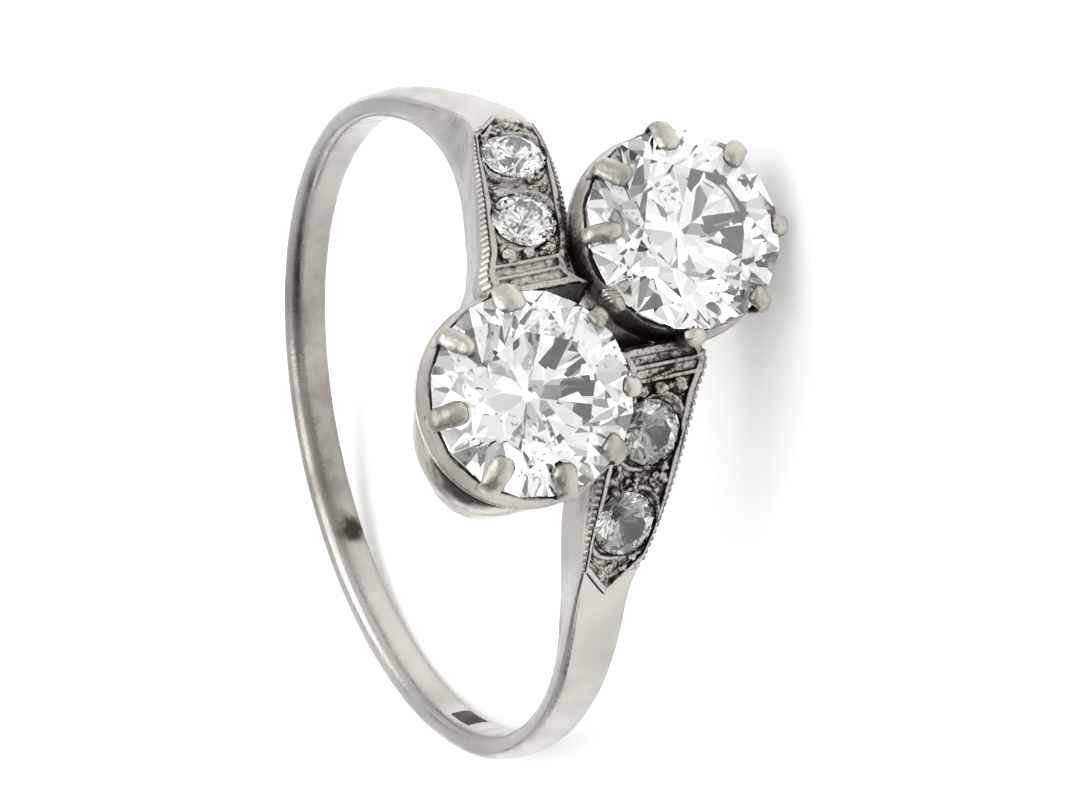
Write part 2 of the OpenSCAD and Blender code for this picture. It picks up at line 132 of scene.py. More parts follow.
# A shoulder's rim from the field outward: share of the rim, drop as a share of the field's drop,
# share of the edge's fall
RIM = np.array([
    [0, 1, 0], [0.02, 0.6, 0], [0.05, 0.12, 0], [0.1, 0, 0], [0.3, 0, 0], [0.42, 0, 0],
    [0.46, 0.1, 0], [0.49, 0.45, 0.02], [0.52, 0.5, 0.05], [0.55, 0.35, 0.08], [0.62, 0.3, 0.12],
    [0.75, 0.3, 0.2], [0.88, 0.3, 0.28], [0.95, 0.34, 0.36], [1, 0.5, 1],
])
# The milled band on the rim: from and to, as shares of the rim, and the edge's fall there
MILLED = [(0.53, 0.06), (0.94, 0.34)]
# Claws: angle, width, whether the leg reaches the bowl, how far it stands out, share of its
# reach; width and standing out are in claw thicknesses
CLAWS_1 = [
    [2, 1.9, 1, 0, 0.75], [46, 1.35, 1, 0, 1], [93, 1.5, 0, 0, 1], [140, 1.55, 0, 0, 1],
    [184, 1.6, 0, 0, 1], [222, 1.5, 0, 0, 0.7], [261, 1.3, 1, 0, 0.4], [305, 1.2, 1, 0.12, 0.4],
]
CLAWS_2 = [
    [-1, 1.55, 1, 0, 0.95], [43, 1.55, 1, 0, 1], [84, 1.2, 0, 0, 1], [120, 1.85, 1, 0.7, 0.1],
    [168, 1.55, 1, 0.62, 0.1], [213, 1.35, 1, 0.28, 0.5], [260, 1.25, 1, 0.05, 0.4],
    [311, 1.4, 1, 0, 0.9],
]
# Settings: side, lean and its direction, lean of the bowl and its direction, claws
SETTINGS = [(-1, 8, 122, 3, 40, CLAWS_1), (1, 2, 122, 0, 0, CLAWS_2)]
# Shoulder stones: degrees, tilt of the face in degrees, shift as a share of the plate
SMALLS = [(30, 36, -0.02), (17, 26, 0.01)]


def size(name, about, default, **more):
    return FloatProperty(name=name, description=about, default=default * MM, unit="LENGTH",
                         precision=5, **more)


class ShankSizes(bpy.types.PropertyGroup):
    finger_d: size("Finger hole", "Diameter of the finger hole", 17.0)
    shank_w: size("Shank width", "Width of the shank at the back", 1.16)
    shank_t: size("Shank thickness", "Thickness of the shank at the back", 0.85)
    plate_w: size("Shoulder width", "Width of a shoulder on the finger", 2.36)
    field_w: size("Field width", "Width of the sunk field that holds the stones", 1.78)
    head_t: size("Head height", "Height of a shoulder over the finger at the head", 2.38)
    sweep: size("Swing", "How far a shoulder swings to the side at the head", 1.6)
    edge_fall: size("Edge fall", "How far the outer edges fall away at the head", 0.8)
    field_drop: size("Field depth", "Depth of the sunk field between the rims", 0.14)
    point_step: size("Step at the point", "Step up from the shank to the pointed end", 0.06)
    bridge_t: size("Bridge", "Thickness of the bridge under the head", 0.75)
    rib_pitch: size("Milgrain pitch", "Distance from one milled rib to the next", 0.18)
    rib_h: size("Milgrain height", "How far a milled rib stands out", 0.05)
    seat_rim: size("Seat rim", "How far the rim round a shoulder stone stands up", 0.12)
    rough: size("Roughness of the field", "Height of the tool marks in the sunk fields", 0.035)


class SettingSizes(bpy.types.PropertyGroup):
    main_d: size("Main stone", "Diameter of a main stone", 5.4)
    main_rise: size("Rise", "Height of the girdles over the finger hole", 2.96)
    apart: size("Gap of the stones", "Gap between the edges of the main stones", 1.05)
    turn: FloatProperty(name="Turn of the stones", unit="ROTATION", default=math.radians(57.8),
                        description="Turn of the line between them, away from round the finger")
    wall_t: size("Cup wall", "Thickness of a cup's wall", 0.42)
    wall_out: size("Cup edge", "How far the cup stands out from the girdle", 0.03)
    wall_flare: size("Cup flare", "How far the cup widens toward its lower edge", 0.07)
    bulge: size("Bulge of the bowl", "How far the first bowl swells out on its outer side", 0.4)
    wall_top: size("Cup top", "Depth of the cup's upper edge under the girdle", 0.12)
    wall_low: size("Cup bottom", "Depth of the cup's lower edge under the girdle", 1.15)
    base_top: size("Bowl top", "Depth of the bowl's upper edge under the girdle", 2.1)
    base_in: size("Bowl inset", "Distance of the bowl inside the girdle", 0.54)
    base_taper: size("Bowl taper", "How far the bowl narrows down to the finger", 0.2)
    base_t: size("Bowl wall", "Thickness of the bowl's wall", 0.45)
    scallop: size("Scallop depth", "Depth of the scallops between the claws", 0.25)
    scallop_r: size("Scallop radius", "Radius of the scallops", 0.9)
    claw_t: size("Claw thickness", "Thickness of a claw", 0.42)


class StoneSizes(bpy.types.PropertyGroup):
    small_d: size("Shoulder stone", "Diameter of a shoulder stone", 1.75)
    small_up: size("Seat height", "Height of its girdle over the sunk field", 0.06)
    gap: size("Gap", "Space between a stone and its setting", 0.04)


class Finishes(bpy.types.PropertyGroup):
    platinum: FloatVectorProperty(
        name="Platinum", description="Colour of the clean metal", subtype="COLOR",
        default=(0.50, 0.485, 0.455), min=0, max=1)
    # Colour of the tarnish, and of the painted shade in the crevices and gaps
    tarnish_and_shade_colour: FloatVectorProperty(
        name="Tarnish_and_shade", description="Colour of the metal in the crevices", subtype="COLOR",
        default=(0.055, 0.043, 0.034), min=0, max=1)
    floor: FloatVectorProperty(
        name="Floor", description="Colour of the floor", subtype="COLOR",
        default=(0.93, 0.93, 0.93), min=0, max=1)


class Sizes:
    """The scene's sizes in mm, and what follows from them."""

    def __init__(self, scene):
        for group in (scene.ring_shank, scene.ring_settings, scene.ring_stones):
            for name in group.__annotations__:
                unit = 1 if name == "turn" else MM
                setattr(self, name, getattr(group, name) / unit)
        self.bore_r = self.finger_d / 2
        self.main_r = self.main_d / 2
        self.main_h = self.bore_r + self.main_rise
        self.main_x = (self.main_d + self.apart) / 2 * math.cos(self.turn)
        self.main_z = (self.main_d + self.apart) / 2 * math.sin(self.turn)


# The ring is worked out as it is worn, finger along Z and head toward -Y, and then laid on its side
def lie():
    bore = next(m for m in frame["record"]["mounts"] if m["name"] == "finger_bore")
    up = Vector(bore["axis"]).normalized()
    across = Vector((0, 0, 1)).cross(Vector((up.x, up.y, 0))).normalized()
    turn = Matrix.Rotation(math.acos(up.z), 4, across)
    return Matrix.Translation(Vector(bore["pos_m"])) @ turn @ Matrix.Scale(MM, 4)


LIE = lie()


def table_at(table, s, c):
    """A column of a table between its rows, without corners."""
    x, y = table[:, 0], table[:, c]
    m = np.zeros(len(x))
    m[1:-1] = (y[2:] - y[:-2]) / (x[2:] - x[:-2])
    s = np.clip(np.asarray(s, float), x[0], x[-1])
    i = np.clip(np.searchsorted(x, s, side="left") - 1, 0, len(x) - 2)
    d = x[i + 1] - x[i]
    u = (s - x[i]) / d
    return (y[i] * (1 + 2 * u) * (1 - u) ** 2 + d * m[i] * u * (1 - u) ** 2
            + y[i + 1] * u * u * (3 - 2 * u) + d * m[i + 1] * u * u * (u - 1))


def on_ring(s, r, z):
    a = np.radians(s)
    return np.stack([r * np.sin(a), -r * np.cos(a), z + 0 * a], axis=-1)


def half_w(k, s):
    return (k.shank_w + (k.plate_w - k.shank_w) * table_at(RUN, s, WIDTH)) / 2


def crown_t(k, s):
    return k.shank_t + (k.head_t - k.shank_t) * table_at(RUN, s, HEIGHT)


def middle(k, s):
    return k.sweep * table_at(RUN, s, SWING)


def top_middle(k, s):
    return middle(k, s) + k.plate_w * table_at(RUN, s, PUSH)


def top_w(k, s):
    return half_w(k, s) * table_at(RUN, s, TOP_WIDTH)


def fall(k, s):
    return k.edge_fall * table_at(RUN, s, FALL)


def field_half(k, s):
    return np.minimum(k.field_w / 2, FIELD_SHARE * top_w(k, s))


def step(x, low, high):
    u = np.clip((x - low) / (high - low), 0, 1)
    return u * u * (3 - 2 * u)


def ring_rows():
    """Degrees of the rows of half the ring, close together where the relief is."""
    near = (-RAIL_SLOPE, -RAIL_SLOPE / 2, 0, RAIL_SLOPE / 2, RAIL_SLOPE)
    crisp = [a + b for pair in CROSS_RAILS for a in pair for b in near]
    return np.unique(np.round(np.concatenate([np.arange(*row) for row in ROWS] + [crisp]), 3))


def rail(q):
    """1 on a rail right across a shoulder, 0 between them, with a slope of twice RAIL_SLOPE."""
    on = np.zeros_like(q)
    for a, b in CROSS_RAILS:
        on = np.maximum(on, step(q, a - RAIL_SLOPE, a + RAIL_SLOPE)
                        * (1 - step(q, b - RAIL_SLOPE, b + RAIL_SLOPE)))
    return on


def relief(k, s, z, q):
    """Rises of a sunk field: the stones' seat rims, the tip's crease and inner chevron, tool marks."""
    s, z = np.broadcast_arrays(np.asarray(s, float), np.asarray(z, float))
    rise = np.zeros(s.shape)
    for deg, _, shift in SMALLS:
        arc = np.radians(s - deg) * (k.bore_r + crown_t(k, deg))
        rho = np.hypot(arc, z - shift * k.plate_w)
        rise = np.maximum(rise, k.seat_rim * np.exp(-((rho - k.small_d / 2 - SEAT_OUT) / SEAT_WIDE) ** 4))
    if q > TIP_START:
        crease = np.exp(-(z / CREASE_W) ** 2) * step(q, CREASE_FROM, CREASE_TO)
        rise = np.maximum(rise, CREASE_H * crease)
        rise = np.maximum(rise, CHEVRON_H * step(q, *CHEVRON_UP) * (1 - step(q, *CHEVRON_DOWN)))
    for i, (a, b) in enumerate(zip(s.ravel(), z.ravel())):
        p = Vector((a * 0.19, b, 3.7))
        rise.ravel()[i] += k.rough * (noise.noise(p * 5.5) + 0.6 * noise.noise(p * 13.0))
    return rise


def section_points(k, q):
    """One closed section of the swept ring at q degrees, and how deep its points lie in the field.

    Points that aren't on the worked top of a shoulder get -1 instead of a depth.
    """
    share = np.interp(q, SLANT[:, 0], SLANT[:, 1])
    inner = np.linspace(0, 1, FIELD_POINTS, endpoint=False)
    blank = np.zeros(FIELD_POINTS)
    field = np.concatenate([inner, np.ones(len(RIM))])
    rim_out = np.concatenate([blank, RIM[:, 0]])
    rim_drop = np.concatenate([blank + 1, RIM[:, 1]])
    rim_fall = np.concatenate([blank, RIM[:, 2]])
    j = np.linspace(0, np.pi / 2, len(field))
    round_at = np.sin(j) ** (2 / SQUARE_OUT)
    round_h = 0.5 + 0.5 * np.abs(np.cos(j)) ** (2 / SQUARE_OUT)
    w0 = top_w(k, q)
    bridge = q < BRIDGE_END
    ring, depths = [], []
    for side in (-1, 1):
        s = np.full_like(j, q)
        for _ in range(2):
            f = field_half(k, s)
            plate = f * field + (top_w(k, s) - f) * rim_out
            flat = table_at(RUN, s, FLATNESS)
            sides = half_w(k, s) * round_at
            out = sides + (plate - sides) * flat
            s = q - POINT_LEAD * share * out / w0
        raised = 0.0 if q > POINT_END else 1.0
        shoulder = 1.0 if BRIDGE_END < q < POINT_END else 0.0
        h = crown_t(k, s) * (1 - (1 - round_h) * (1 - flat)) + k.point_step * raised
        across_rail = float(rail(np.array([q]))[0])
        sunk = rim_drop * np.where(rim_out < 0.45, 1 - across_rail, 1)
        drop = k.field_drop * sunk * shoulder * (SHALLOW if q < SHALLOW_END else 1)
        if shoulder and across_rail < 1:
            inside = (rim_drop > 0.9) & (rim_out == 0)
            rise = relief(k, s[inside], side * out[inside], q) * (1 - across_rail)
            drop = drop.copy()
            drop[inside] -= rise
        h = h - drop
        h = h - (fall(k, s) + RIM_FALL * flat) * rim_fall
        if bridge:
            h = np.full_like(h, k.bridge_t)
        top = on_ring(s, k.bore_r + h, top_middle(k, s) + side * out)
        sw = q - POINT_LEAD * share
        w, mid = half_w(k, sw), middle(k, sw)
        t = k.bridge_t if bridge else crown_t(k, sw)
        e = WALL_EDGE[0] + (WALL_EDGE[1] - WALL_EDGE[0]) * table_at(RUN, sw, FLATNESS)
        edge_z, edge_r = top_middle(k, s)[-1] + side * out[-1], k.bore_r + h[-1]
        wall_z, wall_r = mid + side * w, k.bore_r + t * e
        square = 1.0 if bridge else float(table_at(RUN, sw, FLATNESS))
        b = EDGE_BEVEL
        flat_wall = [(edge_r + (wall_r - edge_r) * u, edge_z + (wall_z - edge_z) * u,
                      s[-1] + (sw - s[-1]) * u) for u in np.linspace(0.08, 1, 9)]
        flat_wall.append((k.bore_r + b * 1.15, wall_z, sw))
        flat_wall += [(k.bore_r + b - b * math.sin(a), mid + side * (w - b + b * math.cos(a)), sw)
                      for a in np.radians([20, 45, 70])]
        flat_wall += [(k.bore_r, mid + side * (w - b) * x, sw) for x in np.linspace(1, 0.12, 7)]
        walls = []
        for i, (r, z, a) in enumerate(flat_wall):
            u = math.pi / 2 * (i + 1) / (len(flat_wall) + 0.6)
            z_in = mid + side * w * math.cos(u) ** (2 / SQUARE_IN)
            r_in = k.bore_r + t / 2 * (1 - math.sin(u) ** (2 / SQUARE_IN))
            walls.append(on_ring(a, r_in + (r - r_in) * square, z_in + (z - z_in) * square))
        ring.append(np.concatenate([top, walls]))
        depths.append(np.concatenate([drop / k.field_drop - (1 - shoulder), -np.ones(len(walls))]))
    return tuple(np.concatenate([left[::-1], right[1:]]) for left, right in (ring, depths))


def swept_ring(k):
    """Sections of shank, shoulders and bridge in one loop, and how deep their points lie."""
    sections = [section_points(k, q) for q in ring_rows()]
    half = np.array([points for points, _ in sections])
    deep = np.array([depth for _, depth in sections])
    other = half[1:-1, ::-1] * [-1, 1, -1]
    return np.concatenate([half[::-1], other]), np.concatenate([deep[::-1], deep[1:-1, ::-1]])


def skin_faces(m, n):
    """Quads over m closed sections of n points, the last joined to the first."""
    return [(a + j, a + (j + 1) % n, b + (j + 1) % n, b + j)
            for a, b in ((i * n, (i + 1) % m * n) for i in range(m)) for j in range(n)]


def make_mesh(name, points, faces, place=None):
    """A mesh object in the row frame from points in mm of the ring as worn."""
    mesh = bpy.data.meshes.new(name)
    mesh.from_pydata([tuple(p) for p in points], [], faces)
    mesh.validate()
    if place is not None:
        mesh.transform(place)
    obj = bpy.data.objects.new(name, mesh)
    bpy.context.collection.objects.link(obj)
    return obj


def outward(obj):
    """Turns the faces of a closed mesh outward."""
    bm = bmesh.new()
    bm.from_mesh(obj.data)
    if bm.calc_volume(signed=True) < 0:
        bmesh.ops.reverse_faces(bm, faces=bm.faces)
    bm.to_mesh(obj.data)
    bm.free()


def lofted(name, sections, place=None):
    """A closed mesh through a loop of closed sections."""
    points = np.array(sections)
    obj = make_mesh(name, points.reshape(-1, 3), skin_faces(*points.shape[:2]), place)
    outward(obj)
    return obj


def shade(obj, degrees=32):
    obj.data.shade_smooth()
    obj.data.set_sharp_from_angle(angle=math.radians(degrees))


def made_plain(obj):
    """The object's evaluated mesh in place of its modifiers."""
    deps = bpy.context.evaluated_depsgraph_get()
    mesh = bpy.data.meshes.new_from_object(obj.evaluated_get(deps))
    mesh.name = obj.name
    obj.modifiers.clear()
    obj.data = mesh


def cut(obj, tools):
    for tool in tools:
        mod = obj.modifiers.new("cut", "BOOLEAN")
        mod.operation = "DIFFERENCE"
        mod.solver = "MANIFOLD"
        mod.object = tool
    made_plain(obj)
    for tool in tools:
        bpy.data.objects.remove(tool)


def finished(obj, mat, node="mounting"):
    obj.data.materials.clear()
    obj.data.materials.append(mat)
    obj["of_metal"] = True
    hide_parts(node)
    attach(obj, "root")
    return obj


# Places of the settings and the shoulder stones, on the ring as worn
def setting_place(k, s, lean, way):
    return (Matrix.Translation((s[0] * k.main_x, -k.main_h, -s[0] * k.main_z))
            @ Matrix.Rotation(math.radians(90), 4, "X")
            @ Matrix.Rotation(math.radians(lean), 4,
                              Vector((-math.sin(math.radians(way)), math.cos(math.radians(way)), 0))))


def small_place(k, side, row):
    deg, tilt, shift = row
    r = k.bore_r + float(crown_t(k, deg)) + k.point_step - k.field_drop + k.small_up
    at = on_ring(deg, r, float(top_middle(k, deg)) + shift * k.plate_w)
    return (Matrix.Rotation(0 if side > 0 else math.pi, 4, "Y") @ Matrix.Translation(Vector(at))
            @ Matrix.Rotation(math.radians(tilt), 4, "Z") @ Matrix.Rotation(math.radians(90), 4, "X"))


def turned_solid(name, profile, place, n):
    """A closed solid turned round Z from a profile of radius and height."""
    r, z = np.array(profile).T
    a = np.linspace(0, 2 * np.pi, n, endpoint=False)
    return lofted(name, np.stack([np.outer(np.cos(a), r), np.outer(np.sin(a), r),
                                  np.outer(np.ones(n), z)], axis=-1), place)


def stone_seat(k, d, place):
    """The hollow that a stone of diameter d lies in, with its gap all round."""
    r, g = d / 2, k.gap
    gz, tr, ch, ph = d * GIRDLE, r * TABLE, d * CROWN, d * PAVILION
    up, down = ch / (r - tr), ph / (r - r * CULET)
    ug, dg = g * math.sqrt(1 + up * up), g * math.sqrt(1 + down * down)
    low, high = -gz - ph - g, gz + ch + g + 0.6
    return turned_solid("seat", [
        (0.01, low), (r - (ph + g - dg) / down, low), (r + g, -gz - dg + g * down),
        (r + g, gz + ug - g * up), (r - (ch + g - ug) / up, high), (0.01, high),
    ], place, 64)


def new_material(name):
    mat = bpy.data.materials.new(name)
    mat.use_nodes = True
    mat.node_tree.nodes.clear()
    return mat, mat.node_tree


def wired(tree, kind, inputs=None, **settings):
    """A new node with these settings; each input is wired to a socket or set to a value."""
    new = tree.nodes.new(kind)
    for key, value in settings.items():
        setattr(new, key, value)
    for key, value in (inputs or {}).items():
        if isinstance(value, bpy.types.NodeSocket):
            tree.links.new(value, new.inputs[key])
        else:
            new.inputs[key].default_value = value
    return new


def calc(tree, op, a, b):
    return wired(tree, "ShaderNodeMath", {0: a, 1: b}, operation=op).outputs[0]


def times(tree, a, b):
    return calc(tree, "MULTIPLY", a, b)


def added(tree, first, *more):
    for part in more:
        first = calc(tree, "ADD", first, part)
    return first


def vector_calc(tree, op, a, b):
    return wired(tree, "ShaderNodeVectorMath", {0: a, 1: b}, operation=op)


def scaled(tree, vector, amount):
    return wired(tree, "ShaderNodeVectorMath", {0: vector, "Scale": amount}, operation="SCALE").outputs[0]


def fade(tree, value, low, high, at_low=0.0, at_high=1.0, kind="SMOOTHSTEP"):
    return wired(tree, "ShaderNodeMapRange", {"Value": value, 1: low, 2: high, 3: at_low, 4: at_high},
                 interpolation_type=kind).outputs[0]


def blend(tree, factor, a, b):
    return wired(tree, "ShaderNodeMix", {"Factor": factor, "A": a, "B": b},
                 data_type="RGBA").outputs["Result"]


def cloudy(tree, at, scale, detail=2, rough=0.5):
    return wired(tree, "ShaderNodeTexNoise", {"Vector": at, "Scale": scale, "Detail": detail,
                                              "Roughness": rough}).outputs["Fac"]


def surface(tree, inputs):
    """A Principled surface on the material's output."""
    bsdf = wired(tree, "ShaderNodeBsdfPrincipled", inputs)
    wired(tree, "ShaderNodeOutputMaterial", {0: bsdf.outputs[0]})


def platinum(clean, dark, name, rough, scratch, tint, black, patchy):
    """Worn platinum: scratched, cloudy, pitted where it is worked, dark in its crevices and gaps, partly
    tarnished and partly painted shade.
    """
    mat, tree = new_material(name)
    co = tree.nodes.new("ShaderNodeTexCoord").outputs["Object"]

    def stored(key):
        return wired(tree, "ShaderNodeAttribute", attribute_name=key).outputs["Fac"]

    def scratches(stretch, turn):
        at = wired(tree, "ShaderNodeMapping", {"Vector": co, "Scale": stretch, "Rotation": turn})
        return times(tree, cloudy(tree, at.outputs[0], 1500), 0.5)

    cloud = cloudy(tree, co, 900, 5, 0.62)
    patch = cloudy(tree, co, 700 if patchy > 0.2 else 260, 3)
    pits = cloudy(tree, co, 6200, 5, 0.75)
    fine = cloudy(tree, co, 5200, 3, 0.6)
    mottle = cloudy(tree, co, 2600, 4, 0.65)
    worked = stored("worked")
    specks = times(tree, fade(tree, pits, 0.47, 0.62), 0.36)
    # The stored darkness is tarnish and smudges together with painted shade in the crevices and gaps;
    # clouds, mottling and pits add to it
    deep = added(tree, stored("grime_and_shade"), times(tree, fade(tree, cloud, 0.3, 0.7, -1, 1), 0.12),
                 times(tree, fade(tree, mottle, 0.3, 0.7, -1, 1), 0.12), times(tree, specks, worked))
    dirt_and_shade = times(tree, fade(tree, deep, 0.28, 0.8), black)
    base = [c * t for c, t in zip(clean, tint)]
    metal = blend(tree, fade(tree, patch, 0.35, 0.65), (*[c * (1 - patchy) for c in base], 1),
                  (*[min(1, c * 1.06) for c in base], 1))
    # Brown inside the shank: partly a film, partly painted shade
    film_and_shade = times(tree, stored("film_and_shade"), fade(tree, cloud, 0.25, 0.75, 0.6, 1.2))
    stained_and_shaded = blend(tree, film_and_shade, metal, (*FILM_AND_SHADE_BROWN, 1))
    ridges = wired(tree, "ShaderNodeTexWave", {"Vector": co, "Scale": 3400, "Distortion": 1.5,
                                               "Detail": 1.0})
    cuts = times(tree, ridges.outputs["Fac"], stored("filed"))
    height = added(tree, scratches((1, 14, 1), (0.3, 0.2, 0.5)), scratches((12, 1, 1), (0.1, 0.6, -0.4)),
                   times(tree, fine, 0.5), times(tree, cloud, 1.2),
                   times(tree, times(tree, pits, -4.5), worked), times(tree, cuts, 2.0))
    bump = wired(tree, "ShaderNodeBump", {"Strength": scratch, "Distance": 0.00003, "Height": height})
    surface(tree, {
        "Metallic": 1.0, "Base Color": blend(tree, dirt_and_shade, stained_and_shaded, (*dark, 1)), "Normal": bump.outputs[0],
        "Roughness": added(tree, times(tree, fade(tree, cloud, 0.35, 0.7), 0.22), rough,
                           times(tree, dirt_and_shade, 0.25))})
    return mat


def gem(name, colour, shade_tint, rough, share, index):
    """A cut stone: full refraction, a second tint as painted shade on facets picked by their facing, and
    clusters of dark specks.
    """
    mat, tree = new_material(name)
    place = tree.nodes.new("ShaderNodeTexCoord").outputs

    def spots(at, scale, low, high):
        return fade(tree, cloudy(tree, place[at], scale, 3), low, high, kind="LINEAR")

    # The facets that face some ways get the second tint: painted shade
    facets = blend(tree, spots("Normal", 3.0, share - 0.04, share + 0.04), (*shade_tint, 1), (*colour, 1))
    specks = times(tree, spots("Object", 8000, 0.57, 0.61), spots("Object", 600, 0.58, 0.62))
    surface(tree, {"Base Color": blend(tree, specks, facets, (0.05, 0.05, 0.05, 1)), "Roughness": rough,
                   "IOR": index, "Transmission Weight": 1.0})
    return mat


# Platinum: name, roughness, scratches, tint, how black its crevices get as tarnish and painted shade,
# how patchy it is
METALS = {
    "shank": ("shank_platinum", 0.2, 0.35, (1, 1, 1), 1.0, 0.14),
    "satin": ("cup_platinum", 0.22, 0.45, (1.06, 1.05, 1.02), 1.0, 0.22),
    "claws": ("claw_platinum", 0.16, 0.4, (1.06, 1.05, 1.01), 0.9, 0.4),
    "milled": ("milled_platinum", 0.2, 0.3, (1.05, 1.04, 1.0), 0.8, 0.14),
    "grains": ("grain_platinum", 0.2, 0.4, (1.05, 1.04, 1.0), 0.8, 0.14),
    "copper": ("copper_solder", 0.3, 0.3, (1.0, 0.78, 0.62), 0.4, 0.14),
    "bowl": ("bowl_platinum", 0.2, 0.25, (1.08, 1.07, 1.05), 0.9, 0.14),
}
# Stones: name, colour, second tint, which is painted shade on the facets that face some ways,
# roughness, share of the second tint, refractive index
GEMS = {
    "gem": ("clear_stone", (0.99, 0.99, 1.0), (0.95, 0.94, 0.9), 0.0, 0.44, 2.417),
    "small_gem": ("shoulder_stone", (1.0, 0.995, 0.98), (0.95, 0.94, 0.92), 0.03, 0.4, 2.417),
    "grey_gem": ("grey_stone", (0.97, 0.97, 0.96), (0.3, 0.3, 0.29), 0.0, 0.53, 1.85),
}
# Brown of the film inside the shank, which is also painted shade there
FILM_AND_SHADE_BROWN = (0.13, 0.108, 0.088)
MATERIALS = {}


def material(key):
    if key not in MATERIALS:
        fin = bpy.context.scene.ring_finishes
        MATERIALS[key] = (gem(*GEMS[key]) if key in GEMS else
                          platinum(tuple(fin.platinum), tuple(fin.tarnish_and_shade_colour), *METALS[key]))
    return MATERIALS[key]


def input_id(tree, name):
    return next(i.identifier for i in tree.interface.items_tree
                if i.item_type == "SOCKET" and i.in_out == "INPUT" and i.name == name)


def new_tree(name, inputs):
    """A geometry tree with its group input and output nodes."""
    tree = bpy.data.node_groups.new(name, "GeometryNodeTree")
    tree.interface.new_socket("Geometry", in_out="INPUT", socket_type="NodeSocketGeometry")
    tree.interface.new_socket("Geometry", in_out="OUTPUT", socket_type="NodeSocketGeometry")
    for label, kind, value in inputs:
        s = tree.interface.new_socket(label, in_out="INPUT", socket_type="NodeSocket" + kind)
        if value is not None:
            s.default_value = value
    return tree, tree.nodes.new("NodeGroupInput"), tree.nodes.new("NodeGroupOutput")


def run_tree(obj, tree, values):
    mod = obj.modifiers.new("shape", "NODES")
    mod.node_group = tree
    for name, value in values.items():
        mod[input_id(tree, name)] = value
    made_plain(obj)


def named(tree, name, kind="FLOAT_VECTOR"):
    n = wired(tree, "GeometryNodeInputNamedAttribute", {"Name": name}, data_type=kind)
    return n.outputs["Attribute"]


def moved(tree, geometry, offset):
    return wired(tree, "GeometryNodeSetPosition", {"Geometry": geometry, "Offset": offset}).outputs[0]


def rough_skin(tree, gin, geometry, scale):
    """Pushes a skin in and out by noise, as far as the tree's Roughness says."""
    at = tree.nodes.new("GeometryNodeInputPosition").outputs[0]
    normal = tree.nodes.new("GeometryNodeInputNormal").outputs[0]
    wave = wired(tree, "ShaderNodeTexNoise", {"Vector": at, "W": gin.outputs["Seed"], "Scale": scale},
                 noise_dimensions="4D")
    off = calc(tree, "SUBTRACT", wave.outputs["Fac"], 0.5)
    return moved(tree, geometry, scaled(tree, normal, times(tree, off, gin.outputs["Roughness"])))


def finish_tree(tree, gin, gout, geometry):
    """Smooths and realizes what a tree made, and gives it its material."""
    smooth = wired(tree, "GeometryNodeSetShadeSmooth", {"Geometry": geometry})
    real = wired(tree, "GeometryNodeRealizeInstances", {0: smooth.outputs[0]})
    finish = wired(tree, "GeometryNodeSetMaterial", {"Geometry": real.outputs[0],
                                                     "Material": gin.outputs["Material"]})
    tree.links.new(finish.outputs[0], gout.inputs[0])


def bead_tree(bars=False):
    """Beads, or bars, on points: each takes its own size and way up, and none is quite even."""
    tree, gin, gout = new_tree("bars" if bars else "beads", [
        ("Material", "Material", None), ("Roughness", "Float", 0.12), ("Seed", "Int", 3),
        ("Fineness", "Int", 3)])
    if bars:
        rod = wired(tree, "GeometryNodeMeshCylinder", {"Vertices": 12, "Radius": 1.0, "Depth": 2.0})
        shape = wired(tree, "GeometryNodeTransform", {"Geometry": rod.outputs["Mesh"],
                                                      "Rotation": (0, math.pi / 2, 0)})
    else:
        shape = wired(tree, "GeometryNodeMeshIcoSphere", {"Radius": 1.0,
                                                          "Subdivisions": gin.outputs["Fineness"]})
    points = wired(tree, "GeometryNodeMeshToPoints", {"Mesh": gin.outputs["Geometry"]})
    aim = wired(tree, "FunctionNodeAxesToRotation", {"Primary Axis": named(tree, "up"),
                                                     "Secondary Axis": named(tree, "along")})
    copies = wired(tree, "GeometryNodeInstanceOnPoints", {
        "Points": points.outputs[0], "Instance": shape.outputs[0], "Rotation": aim.outputs[0],
        "Scale": named(tree, "size")})
    real = wired(tree, "GeometryNodeRealizeInstances", {0: copies.outputs[0]})
    finish_tree(tree, gin, gout, rough_skin(tree, gin, real.outputs[0], 6.0))
    return tree


def claw_tree():
    """A bent claw along each spine: round stock of the spine's radius, widened to the side."""
    tree, gin, gout = new_tree("claws", [("Material", "Material", None), ("Corner", "Float", 0.85),
                                         ("Roughness", "Float", 0.06), ("Seed", "Int", 2)])
    spine = wired(tree, "GeometryNodeMeshToCurve", {"Mesh": gin.outputs["Geometry"]})
    at = tree.nodes.new("GeometryNodeInputPosition").outputs[0]
    keep = wired(tree, "GeometryNodeStoreNamedAttribute",
                 {"Name": "spine", "Geometry": spine.outputs[0], "Value": at},
                 data_type="FLOAT_VECTOR", domain="POINT")
    square = wired(tree, "GeometryNodeCurvePrimitiveQuadrilateral", {"Width": 2.0, "Height": 2.0})
    stock = wired(tree, "GeometryNodeFilletCurve",
                  {"Curve": square.outputs[0], "Radius": gin.outputs["Corner"], "Count": 2}, mode="POLY")
    side = named(tree, "side")
    face = wired(tree, "GeometryNodeSetCurveNormal", {"Curve": keep.outputs[0], "Normal": side},
                 mode="FREE")
    sweep = wired(tree, "GeometryNodeCurveToMesh", {
        "Curve": face.outputs[0], "Profile Curve": stock.outputs[0], "Fill Caps": True,
        "Scale": named(tree, "thick", "FLOAT")})
    away = vector_calc(tree, "SUBTRACT", at, named(tree, "spine")).outputs[0]
    aside = vector_calc(tree, "DOT_PRODUCT", away, side).outputs["Value"]
    push = scaled(tree, side, times(tree, aside, named(tree, "widen", "FLOAT")))
    fine = wired(tree, "GeometryNodeSubdivisionSurface", {"Level": 2,
                                                          "Mesh": moved(tree, sweep.outputs[0], push)})
    finish_tree(tree, gin, gout, rough_skin(tree, gin, fine.outputs[0], 3.2))
    return tree


